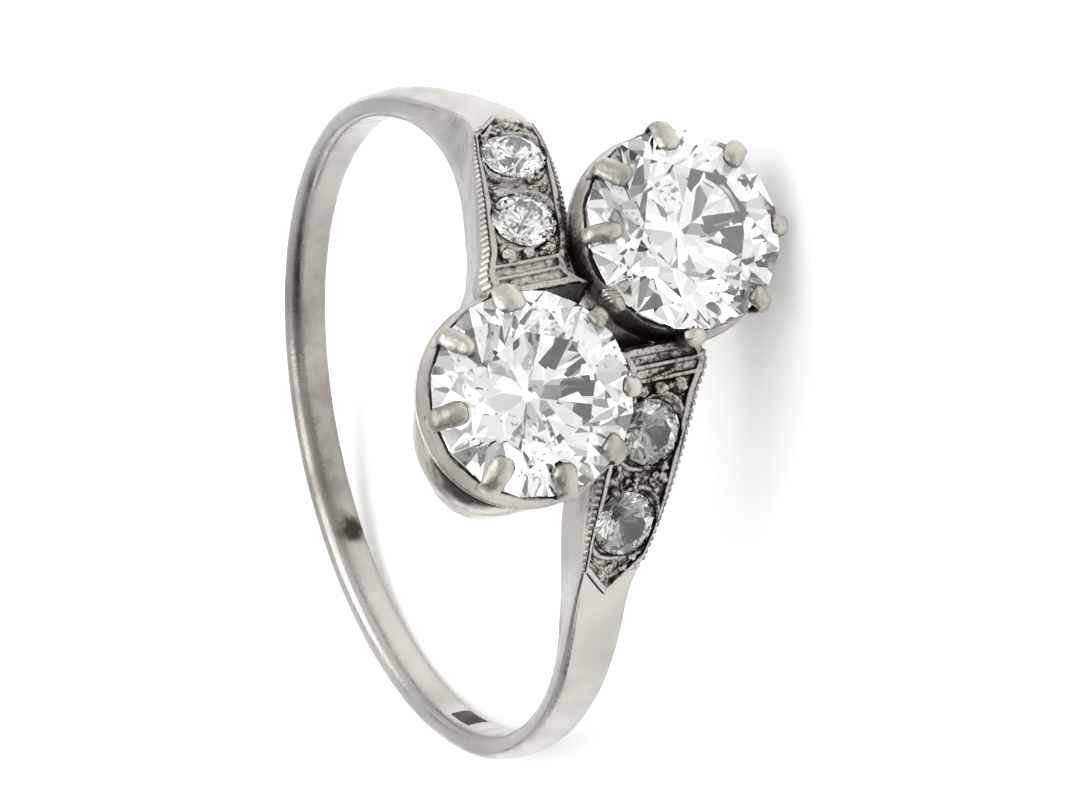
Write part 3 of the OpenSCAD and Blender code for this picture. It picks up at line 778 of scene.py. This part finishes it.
def strewn(name, key, tree, rows, sharp=None, **values):
    """Beads or bars as one piece, from rows of side, point, way up, long way and size.

    The points are those of the ring as worn; side is 1, or -1 for the half on the other side.
    """
    flips = [np.array([row[0], 1, row[0]]) for row in rows]
    points, up, along = ([row[i] * flip for row, flip in zip(rows, flips)] for i in (1, 2, 3))
    obj = point_cloud(name, points, up=up, along=along, size=[row[4] for row in rows])
    run_tree(obj, tree, {"Material": material(key), **values})
    outward(obj)
    obj.data.transform(LIE)
    if sharp:
        shade(obj, sharp)
    finished(obj, material(key))


def put_attribute(mesh, name, kind, values):
    a = mesh.attributes.new(name, kind, "POINT")
    flat = np.asarray(values, float).ravel()
    a.data.foreach_set("vector" if kind == "FLOAT_VECTOR" else "value", flat)


def point_cloud(name, points, **attributes):
    obj = make_mesh(name, points, [])
    for key, values in attributes.items():
        values = np.asarray(values, float)
        put_attribute(obj.data, key, "FLOAT_VECTOR" if values.ndim == 2 else "FLOAT", values)
    return obj


def claw_stations(k, c):
    """Out from the girdle, height, turn, thickness and width of a claw, from foot to tip."""
    up = k.main_d * CROWN / (k.main_r * (1 - TABLE))
    t, stand, reach = k.claw_t, c[3] * k.claw_t, c[4]

    def lift(x):
        x = min(x * t * reach + stand, 0)
        return k.main_d * GIRDLE - x * up + k.gap * math.sqrt(1 + up * up)

    foot = -(k.base_top + 1.07 * t) if c[2] else -(k.wall_low - 0.29 * t)
    return [
        [0.14 * t - k.base_in if c[2] else -0.29 * t, foot, 0.8, 0.8],
        [-0.3 * t, 0.71 * t - k.wall_low, 0.8, 0.8],
        [-0.1 * t + stand * 0.4, -1.2 * t, 0.75, 0.84],
        [0.08 * t + stand * 0.9, -0.29 * t, 0.66, 0.86],
        [0.24 * t + stand, 0.19 * t, 0.6, 0.88],
        [0.1 * t + stand, 0.67 * t, 0.74, 0.92],
        [-0.26 * t * reach + stand, lift(-0.26) + 0.34 * t, 0.88, 0.97],
        [-0.71 * t * reach + stand - 0.1 * t, lift(-0.71) + 0.35 * t, 0.96, 1.04],
        [-1.1 * t * reach + stand - 0.19 * t, lift(-1.1) + 0.33 * t, 0.95, 1.02],
        [-1.34 * t * reach + stand - 0.25 * t, lift(-1.34) + 0.26 * t, 0.76, 0.82],
        [-1.46 * t * reach + stand - 0.31 * t, lift(-1.46) + 0.2 * t, 0.46, 0.45],
    ]


class RING_OT_shank(bpy.types.Operator):
    """Shank, pointed shoulders with their sunk fields and rails, and the bridge under the head"""
    bl_idname = "ring.shank"
    bl_label = "Shank and shoulders"

    def execute(self, context):
        k = Sizes(context.scene)
        loop, deep = swept_ring(k)
        obj = lofted("shank_and_shoulders", loop)
        cut(obj, [stone_seat(k, k.small_d, small_place(k, side, row)) for side in (1, -1) for row in SMALLS]
            + [stone_seat(k, k.main_d, setting_place(k, s, s[1], s[2])) for s in SETTINGS])
        points, flat = loop.reshape(-1, 3), deep.ravel()
        tree = kdtree.KDTree(len(points))
        for i, p in enumerate(points):
            tree.insert(p, i)
        tree.balance()
        near = [tree.find(v.co) for v in obj.data.vertices]
        ground = np.array([flat[i] if d < 0.05 else 0.6 for _, i, d in near])
        put_attribute(obj.data, "ground", "FLOAT", np.maximum(ground, 0))
        put_attribute(obj.data, "worked", "FLOAT", ground > -0.5)
        obj.data.transform(LIE)
        shade(obj, 30)
        finished(obj, material("shank"))
        return {"FINISHED"}


class RING_OT_settings(bpy.types.Operator):
    """The scalloped cup of each setting and the open bowl that it stands on"""
    bl_idname = "ring.settings"
    bl_label = "Cups and bowls"

    def execute(self, context):
        k = Sizes(context.scene)
        for number, s in enumerate(SETTINGS, 1):
            for obj, mat in ((self.cup(k, s, number), "satin"), (self.bowl(k, s, number), "bowl")):
                obj.data.transform(LIE)
                shade(obj, 34)
                finished(obj, material(mat))
        return {"FINISHED"}

    def cup(self, k, s, number):
        n = 288
        a = np.linspace(0, 360, n, endpoint=False)
        angles = [c[0] for c in s[5]]
        top = np.full(n, -k.wall_top)
        out_r = k.main_r + k.wall_out
        for p, q in zip(angles, angles[1:] + [angles[0] + 360]):
            d = (a - (p + q) / 2 + 180) % 360 - 180
            y = out_r * np.sin(np.radians(d))
            inside = (np.abs(y) < k.scallop_r) & (np.abs(d) < 60)
            dip = k.scallop_r - k.wall_top - k.scallop * SCALLOPED
            dip = dip - np.sqrt(np.maximum(k.scallop_r ** 2 - y ** 2, 0))
            top = np.where(inside, np.minimum(top, dip), top)
        slope = PAVILION * k.main_d / (k.main_r * (1 - CULET))
        low, wide, b = k.wall_low, out_r + k.wall_flare, CUP_EDGE
        seat_low = k.main_r - k.wall_t
        rings = []
        for ang, zt in zip(a, top):
            t = math.radians(ang)
            seat = k.main_r + k.gap * 1.3 - (-zt - k.main_d * GIRDLE) / slope
            prof = [
                (seat_low, -low), (wide - 0.08, -low), (wide - 0.01, -low + 0.015),
                (wide + 0.02, -low + 0.05), (wide + 0.02, -low + 0.085), (wide - 0.01, -low + 0.12),
                (wide - 0.02, -low * 0.8), (wide - 0.03, -low * 0.65),
                (out_r + 0.01, (zt - b - low * 0.65) / 2),
                (out_r, zt - b), (out_r - b * 0.3, zt - b * 0.3), (out_r - b, zt),
                (min(seat + 0.02, out_r - b - 0.01), zt), (min(seat, out_r - b - 0.02), zt - 0.02),
                (seat_low, zt - (seat - seat_low) * slope),
            ]
            rings.append([(r * math.cos(t), r * math.sin(t), z) for r, z in prof])
        return lofted(f"cup_{number}", rings, setting_place(k, s, s[1], s[2]))

    def bowl(self, k, s, number):
        place = setting_place(k, s, s[3], s[4])
        top, t = k.main_r - k.base_in, k.base_t
        down = place.to_3x3() @ Vector((0, 0, -1))
        rings = []
        for ang in np.linspace(0, 2 * np.pi, 192, endpoint=False):
            ring = []
            swell = math.exp(-((math.degrees(ang) - BULGE_AT) / BULGE_WIDE) ** 2) if number == 1 else 0.0
            out, rim = k.bulge * swell, -k.base_top + 0.45 * k.bulge * swell
            foot = top - k.base_taper + out * 0.8
            for r, z in (
                (top - t + out, rim - 0.02), (top - t + 0.03 + out, rim), (top - 0.1 + out, rim),
                (top - 0.03 + out, rim - 0.03), (top + out, rim - 0.1),
                (top + 0.03 + out * 1.05, rim - 0.35), (top + 0.02 + out * 1.1, rim - 0.65),
                (top - k.base_taper * 0.4 + out * 1.05, rim - 1.0), (foot, None), (foot - t, None),
            ):
                p = place @ Vector((r * math.cos(ang), r * math.sin(ang), -2.0 if z is None else z))
                if z is None:
                    ax, ay, bx, by = down.x, down.y, p.x, p.y
                    qa, qb = ax * ax + ay * ay, 2 * (ax * bx + ay * by)
                    qc = bx * bx + by * by - k.bore_r ** 2
                    u = (-qb - math.sqrt(max(qb * qb - 4 * qa * qc, 0))) / (2 * qa)
                    p = p + down * u
                ring.append(tuple(p))
            rings.append(ring)
        return lofted(f"bowl_{number}", rings)


class RING_OT_claws(bpy.types.Operator):
    """Eight bent claws on each setting"""
    bl_idname = "ring.claws"
    bl_label = "Claws"

    def execute(self, context):
        k = Sizes(context.scene)
        tree = claw_tree()
        for number, s in enumerate(SETTINGS, 1):
            points, edges, thick, widen, side, filed = [], [], [], [], [], []
            for c in s[5]:
                a = math.radians(c[0])
                stations = claw_stations(k, c)
                first = len(points)
                for i, b in enumerate(stations):
                    r = k.main_r + b[0]
                    points.append((r * math.cos(a), r * math.sin(a), b[1]))
                    thick.append(b[2] * k.claw_t / 2)
                    widen.append(b[3] * c[1] / b[2] - 1)
                    side.append((-math.sin(a), math.cos(a), 0))
                    filed.append(float(number == 2 and c[0] == 120))
                    if i:
                        edges.append((first + i - 1, first + i))
            mesh = bpy.data.meshes.new(f"claws_{number}")
            mesh.from_pydata(points, edges, [])
            for key, values in (("thick", thick), ("widen", widen), ("filed", filed)):
                put_attribute(mesh, key, "FLOAT", values)
            put_attribute(mesh, "side", "FLOAT_VECTOR", side)
            obj = bpy.data.objects.new(f"claws_{number}", mesh)
            context.collection.objects.link(obj)
            run_tree(obj, tree, {"Material": material("claws"), "Corner": 0.9, "Roughness": 0.13,
                                "Seed": 2 + number})
            outward(obj)
            obj.data.transform(LIE @ setting_place(k, s, s[1], s[2]))
            finished(obj, material("claws"))
        return {"FINISHED"}


class RING_OT_milgrain(bpy.types.Operator):
    """Milled ribs along the outer edges of both shoulders"""
    bl_idname = "ring.milgrain"
    bl_label = "Milgrain"

    def execute(self, context):
        k = Sizes(context.scene)
        rows = []
        for turn in (1, -1):
            for side in (-1, 1):
                s = MILGRAIN_FROM
                while s > MILGRAIN_TO:
                    w, f = float(top_w(k, s)), float(field_half(k, s))
                    h = float(crown_t(k, s)) + k.point_step
                    drop = float(fall(k, s)) + RIM_FALL
                    mid = float(top_middle(k, s))
                    sunk = 0.3 * k.field_drop
                    inner, outer = (
                        on_ring(s, k.bore_r + h - sunk - low * drop, mid + side * (f + (w - f) * share))
                        for share, low in MILLED)
                    run = on_ring(s - 0.5, k.bore_r + h, mid) - on_ring(s + 0.5, k.bore_r + h, mid)
                    across = outer - inner
                    long = float(np.linalg.norm(across))
                    across = across / long
                    run = run / np.linalg.norm(run)
                    nrm = np.cross(run, across)
                    nrm = nrm / np.linalg.norm(nrm)
                    if nrm @ on_ring(s, 1.0, side * 1.0) < 0:
                        nrm = -nrm
                    p = (inner + outer) / 2 - nrm * 0.01
                    rows.append((turn, p, nrm, across, (long / 2, k.rib_pitch * 0.49, k.rib_h + 0.01)))
                    s -= math.degrees(k.rib_pitch / (k.bore_r + h - drop / 4))
        strewn("milgrain", "milled", bead_tree(bars=True), rows, 50, Roughness=0.05, Seed=5)
        return {"FINISHED"}


# Grains that hold the shoulder stones: degrees, share of half the field, radius in field depths
GRAINS = [
    (37.4, 0.4, 0.6), (37.2, -0.42, 0.6), (25.7, 0.7, 0.93), (24.6, -0.05, 0.86), (24.8, -0.7, 0.93),
    (22.2, 0.74, 1), (21.9, 0.1, 0.79), (22.4, -0.72, 0.93), (11.1, 0.62, 1.4), (11, -0.04, 1.2),
    (10.9, -0.66, 1.3),
]


# Smaller grains: degrees between which they lie, radius in mm, tries, and how many grains in all
GRAIN_RUN, GRAIN_R, GRAIN_TRIES, GRAINS_WANTED = (10.7, 38.4), (0.06, 0.13), 1500, 30
# Coppery beads, and the half sizes of one in mm
SOLDER_BEADS, SOLDER_SIZE = 9, (0.055, 0.045, 0.05)


def crowded(k, rand):
    """The grains above with smaller ones strewn between them, clear of the stones."""
    beads = [(deg, share, r * k.field_drop) for deg, share, r in GRAINS]
    for _ in range(GRAIN_TRIES):
        deg, share, r = rand.uniform(*GRAIN_RUN), rand.uniform(-0.9, 0.9), rand.uniform(*GRAIN_R)
        arc = math.radians(1) * (k.bore_r + float(crown_t(k, deg)))
        z = share * float(field_half(k, deg))
        clear = all(math.hypot((deg - d) * arc, z - shift * k.plate_w) > k.small_d / 2 + 0.1 + 0.6 * r
                    for d, _, shift in SMALLS)
        apart = all(math.hypot((deg - d) * arc, z - p * float(field_half(k, d))) > 0.8 * (r + q)
                    for d, p, q in beads)
        if clear and apart and len(beads) < GRAINS_WANTED:
            beads.append((deg, share, r))
    return beads


class RING_OT_grains(bpy.types.Operator):
    """Grains raised from the sunk fields, which hold the shoulder stones"""
    bl_idname = "ring.grains"
    bl_label = "Grains"

    def execute(self, context):
        k = Sizes(context.scene)
        rows = []
        rand = random.Random(4)
        for turn in (1, -1):
            for deg, share, r in crowded(k, rand):
                h = k.bore_r + float(crown_t(k, deg)) + k.point_step - k.field_drop + r * 0.35
                p = on_ring(deg, h, float(top_middle(k, deg)) + share * float(field_half(k, deg)))
                wide, long = r * rand.uniform(0.9, 1.1), r * rand.uniform(0.85, 1.1)
                rows.append((turn, p, on_ring(deg, 1.0, 0.0), np.array([0, 0, 1.0]), (wide, long, r * 1.1)))
        strewn("grains", "grains", bead_tree(), rows, 12, Roughness=0.45, Seed=9, Fineness=3)
        self.solder(k)
        return {"FINISHED"}

    def solder(self, k):
        """A row of tiny coppery beads on the inner cross rail of the second shoulder."""
        rows = []
        for i in range(SOLDER_BEADS):
            deg, z = 9.9 - 0.12 * i, 0.95 + 0.1 * i
            p = on_ring(deg, k.bore_r + float(crown_t(k, deg)) + k.point_step, z)
            rows.append((-1, p, p * [1, 1, 0], np.array([0, 0, -1.0]), SOLDER_SIZE))
        strewn("solder", "copper", bead_tree(), rows, Roughness=0.2, Seed=3, Fineness=2)


# The stones of the lower shoulder are duller than the others: many of their facets get a dark painted shade
GREY_STONES = ("shoulder_stone_3", "shoulder_stone_4")


class RING_OT_stones(bpy.types.Operator):
    """Gives the cut stones their finish"""
    bl_idname = "ring.stones"
    bl_label = "Stones"

    def execute(self, context):
        for name, node in frame["nodes"].items():
            if name == "mounting":
                continue
            kind = "gem" if name.startswith("main") else "small_gem"
            mat = material("grey_gem" if name in GREY_STONES else kind)
            node.data.materials.clear()
            node.data.materials.append(mat)
        return {"FINISHED"}


# Where the metal is blackened, partly by dark smudges and partly as painted shade, as in the slot
# between a cup and its bowl and in the seats under the grey shoulder stones: degrees, distance from
# the finger's axis, place along it, spread, how much
SMUDGES_AND_SHADE = [
    (-4.6, 9.8, -1.6, 1.5, 0.5), (5.5, 9.9, 0.4, 1.0, 0.3), (8, 10.3, -0.3, 0.9, 0.25),
    (14, 10.6, -0.5, 0.8, 0.2), (-25, 10.2, -0.3, 2.4, 0.1), (-21.6, 8.9, 4.7, 1.3, 0.5),
    (-30, 9.6, -0.1, 0.8, 0.8), (-17, 9.9, -0.9, 0.8, 0.8), (-174.2, 8.5, -0.16, 0.5, 1.0),
    (-15.3, 9.85, 4.87, 0.4, 0.5), (-18.8, 10.1, 4.5, 0.42, 0.9), (-21.3, 10.3, 3.98, 0.42, 0.9),
    (-22.9, 10.4, 3.3, 0.4, 0.5),
]
# Brown on the inner side of the shank, partly a film and partly painted shade, in the same columns
FILM_AND_SHADE = [
    (128, 8.5, 0.2, 1.2, 0.35), (140, 8.5, 0.3, 1.3, 0.5), (152, 8.5, 0.2, 1.3, 0.35),
    (163, 8.5, 0, 1.2, 0.5), (176, 8.5, 0, 1.1, 0.6), (-174.3, 8.5, 0, 0.5, 0.6),
    (-112, 9.3, 0.3, 2.2, 0.16),
]
# A dark mark with hard edges inside the shank: degrees, half its run, place, half its width
MARK_AT, MARK_RUN, MARK_Z, MARK_HALF = -118.83, 4.15, -0.103, 0.365


def marked(k, points):
    """1 on the dark mark inside the shank, 0 off it."""
    run = np.abs(np.degrees(np.arctan2(points[:, 0], -points[:, 1])) - MARK_AT)
    z = np.abs(points[:, 2] - MARK_Z)
    inside = np.hypot(points[:, 0], points[:, 1]) < k.bore_r + 0.2
    return (1 - step(run, MARK_RUN - 0.4, MARK_RUN)) * (1 - step(z, MARK_HALF - 0.06, MARK_HALF)) * inside


def spread(table, points):
    """Sum of soft spots over points of the ring as worn."""
    total = np.zeros(len(points))
    for deg, r, z, reach, much in table:
        away = np.linalg.norm(points - on_ring(deg, r, z), axis=1)
        total += much * np.exp(-(away / reach) ** 2)
    return total


# Crevices are felt for by rays, and where rays are blocked the metal darkens as tarnish and as
# painted shade: how many, how far in mm, and the least lean off the surface
RAYS, RAY_REACH, RAY_LEAN = 14, 1.1, 0.12
# How black the sunk field of the second shoulder gets
FIELD_BLACK = 0.1


class RING_OT_wear_and_shade(bpy.types.Operator):
    """Stores on each piece of metal how deep in the crevices its points lie: tarnished metal and painted
    shade
    """
    bl_idname = "ring.wear"
    bl_label = "Tarnish in the crevices"

    def execute(self, context):
        k = Sizes(context.scene)
        metal = [o for o in context.scene.objects if o.type == "MESH" and o.get("of_metal")]
        stones = [o for n, o in frame["nodes"].items() if n != "mounting"]
        verts, faces = [], []
        for o in metal + stones:
            base = len(verts)
            verts += [v.co.copy() for v in o.data.vertices]
            faces += [tuple(i + base for i in p.vertices) for p in o.data.polygons]
        tree = BVHTree.FromPolygons(verts, faces)
        rand = random.Random(7)
        dirs = [Vector([rand.gauss(0, 1) for _ in range(3)]).normalized() for _ in range(RAYS)]
        reach = RAY_REACH * MM
        back = LIE.inverted()
        for o in metal:
            # The share of blocked rays is painted shade in the crevices and gaps, laid on with their tarnish
            deep = np.zeros(len(o.data.vertices))
            for i, v in enumerate(o.data.vertices):
                n = v.normal
                start = v.co + n * 0.00002
                hit = total = 0.0
                for d in dirs:
                    c = d.dot(n)
                    if c < 0:
                        d, c = -d, -c
                    if c < RAY_LEAN:
                        continue
                    total += c
                    where = tree.ray_cast(start, d, reach)
                    if where[0] is not None:
                        hit += c * (1 - 0.6 * where[3] / reach)
                deep[i] = hit / max(total, 0.01)
            worn = np.array([back @ v.co for v in o.data.vertices])
            if "ground" in o.data.attributes:
                ground = np.zeros(len(deep))
                o.data.attributes["ground"].data.foreach_get("value", ground)
                deep += np.where(worn[:, 0] > 0, 0.0, FIELD_BLACK) * np.clip(ground, 0, 1.1)
                deep += marked(k, worn)
            elif not o.name.startswith("bowl"):
                put_attribute(o.data, "worked", "FLOAT", np.full(len(deep), 0.5))
            # The blackened spots, smudges and painted shade, go with the depth in the crevices
            put_attribute(o.data, "grime_and_shade", "FLOAT", np.clip(deep + spread(SMUDGES_AND_SHADE, worn), 0, 1))
            put_attribute(o.data, "film_and_shade", "FLOAT", np.clip(spread(FILM_AND_SHADE, worn), 0, 1))
        return {"FINISHED"}


# Where the studio is dark, seen from the ring
DARK_SIDE = (-1.0, 0.1, 0.15)
LAMP_AT = (0.02, 0.05, 0.5)
# Camera: turn, height and roll in degrees, aim and distance in mm, focal length in pixels of a
# picture 1080 pixels wide
CAMERA_TURNS = (-10.1, 25.15, -16.11)
AIM_Z, CAMERA_FAR, FOCAL, PICTURE_W = -2.86, 180, 6568, 1080


class RING_OT_stage(bpy.types.Operator):
    """Pale floor, soft studio light and the camera"""
    bl_idname = "ring.stage"
    bl_label = "Stage"

    def execute(self, context):
        self.floor(context)
        self.lights(context)
        self.camera(context)
        return {"FINISHED"}

    def floor(self, context):
        mat, tree = new_material("pale_floor")
        surface(tree, {"Base Color": (*context.scene.ring_finishes.floor, 1), "Roughness": 0.9,
                       "Specular IOR Level": 0.1, "Emission Color": (1, 1, 1, 1), "Emission Strength": 0.22})
        w = 1.2
        obj = make_mesh("floor", [(-w, -w, 0), (w, -w, 0), (w, w, 0), (-w, w, 0)], [(0, 1, 2, 3)])
        obj.data.materials.append(mat)
        obj.location.z = CAD_BOX[0][2] - 0.00002

    def lights(self, context):
        world = bpy.data.worlds.new("studio")
        context.scene.world = world
        world.use_nodes = True
        tree = world.node_tree
        tree.nodes.clear()
        co = tree.nodes.new("ShaderNodeTexCoord").outputs["Generated"]
        sky = wired(tree, "ShaderNodeValToRGB", {0: cloudy(tree, co, 4.5)})
        dark, light = sky.color_ramp.elements
        dark.position, dark.color = 0.36, (0.13, 0.125, 0.115, 1)
        light.position, light.color = 0.48, (1.0, 1.0, 0.99, 1)
        side = vector_calc(tree, "DOT_PRODUCT", co, Vector(DARK_SIDE).normalized()).outputs["Value"]
        dimmed = scaled(tree, sky.outputs[0], fade(tree, side, 0.5, 0.95, 1.0, 0.16))
        back = wired(tree, "ShaderNodeBackground", {"Color": dimmed, "Strength": 1.0})
        wired(tree, "ShaderNodeOutputWorld", {0: back.outputs[0]})
        lamp = bpy.data.lights.new("overhead_soft_box", "AREA")
        lamp.shape, lamp.size, lamp.energy = "SQUARE", 0.6, 1.9
        obj = bpy.data.objects.new("overhead_soft_box", lamp)
        context.collection.objects.link(obj)
        obj.location = LAMP_AT
        obj.rotation_euler = (Vector((0, 0, 0.004)) - Vector(LAMP_AT)).to_track_quat("-Z", "Y").to_euler()
        obj.visible_camera = False

    def camera(self, context):
        az, el, roll = (math.radians(v) for v in CAMERA_TURNS)
        back = Vector((math.sin(az) * math.cos(el), -math.cos(az) * math.cos(el), math.sin(el)))
        ahead = -back
        up = Vector((1, 0, 0))
        up = (up - ahead * up.dot(ahead)).normalized()
        right = ahead.cross(up)
        c, s = math.cos(roll), math.sin(roll)
        right, up = c * right + s * up, c * up - s * right
        turn = Matrix((right, up, back)).transposed()
        at = Vector((0, 0, AIM_Z)) + back * CAMERA_FAR
        data = bpy.data.cameras.new("camera")
        data.sensor_width = 36
        data.lens = FOCAL / PICTURE_W * data.sensor_width
        data.clip_start, data.clip_end = 0.01, 10
        cam = bpy.data.objects.new("camera", data)
        context.collection.objects.link(cam)
        frame_turn = LIE.to_3x3().normalized() @ turn
        cam.matrix_world = Matrix.Translation(LIE @ at) @ frame_turn.to_4x4()
        context.scene.camera = cam
        view = context.scene.view_settings
        view.view_transform = "Standard"
        view.look = "None"


class RING_PT_panel(bpy.types.Panel):
    """The ring's pieces in the sidebar"""
    bl_idname = "RING_PT_panel"
    bl_label = "Toi et moi ring"
    bl_space_type = "VIEW_3D"
    bl_region_type = "UI"
    bl_category = "Ring"

    def draw(self, context):
        scene = context.scene
        for group in (scene.ring_shank, scene.ring_settings, scene.ring_stones, scene.ring_finishes):
            box = self.layout.box()
            for name in group.__annotations__:
                box.prop(group, name)
        for op in OPERATORS:
            self.layout.operator(op.bl_idname)


OPERATORS = (RING_OT_shank, RING_OT_settings, RING_OT_claws, RING_OT_milgrain, RING_OT_grains,
             RING_OT_stones, RING_OT_wear_and_shade, RING_OT_stage)
GROUPS = {"ring_shank": ShankSizes, "ring_settings": SettingSizes, "ring_stones": StoneSizes,
          "ring_finishes": Finishes}


def register():
    for cls in (*GROUPS.values(), *OPERATORS, RING_PT_panel):
        bpy.utils.register_class(cls)
    for name, cls in GROUPS.items():
        setattr(bpy.types.Scene, name, PointerProperty(type=cls))


def unregister():
    for name in GROUPS:
        delattr(bpy.types.Scene, name)
    for cls in reversed((*GROUPS.values(), *OPERATORS, RING_PT_panel)):
        bpy.utils.unregister_class(cls)


def main():
    register()
    for op in OPERATORS:
        group, name = op.bl_idname.split(".")
        getattr(getattr(bpy.ops, group), name)()


if __name__ == "__main__":
    main()
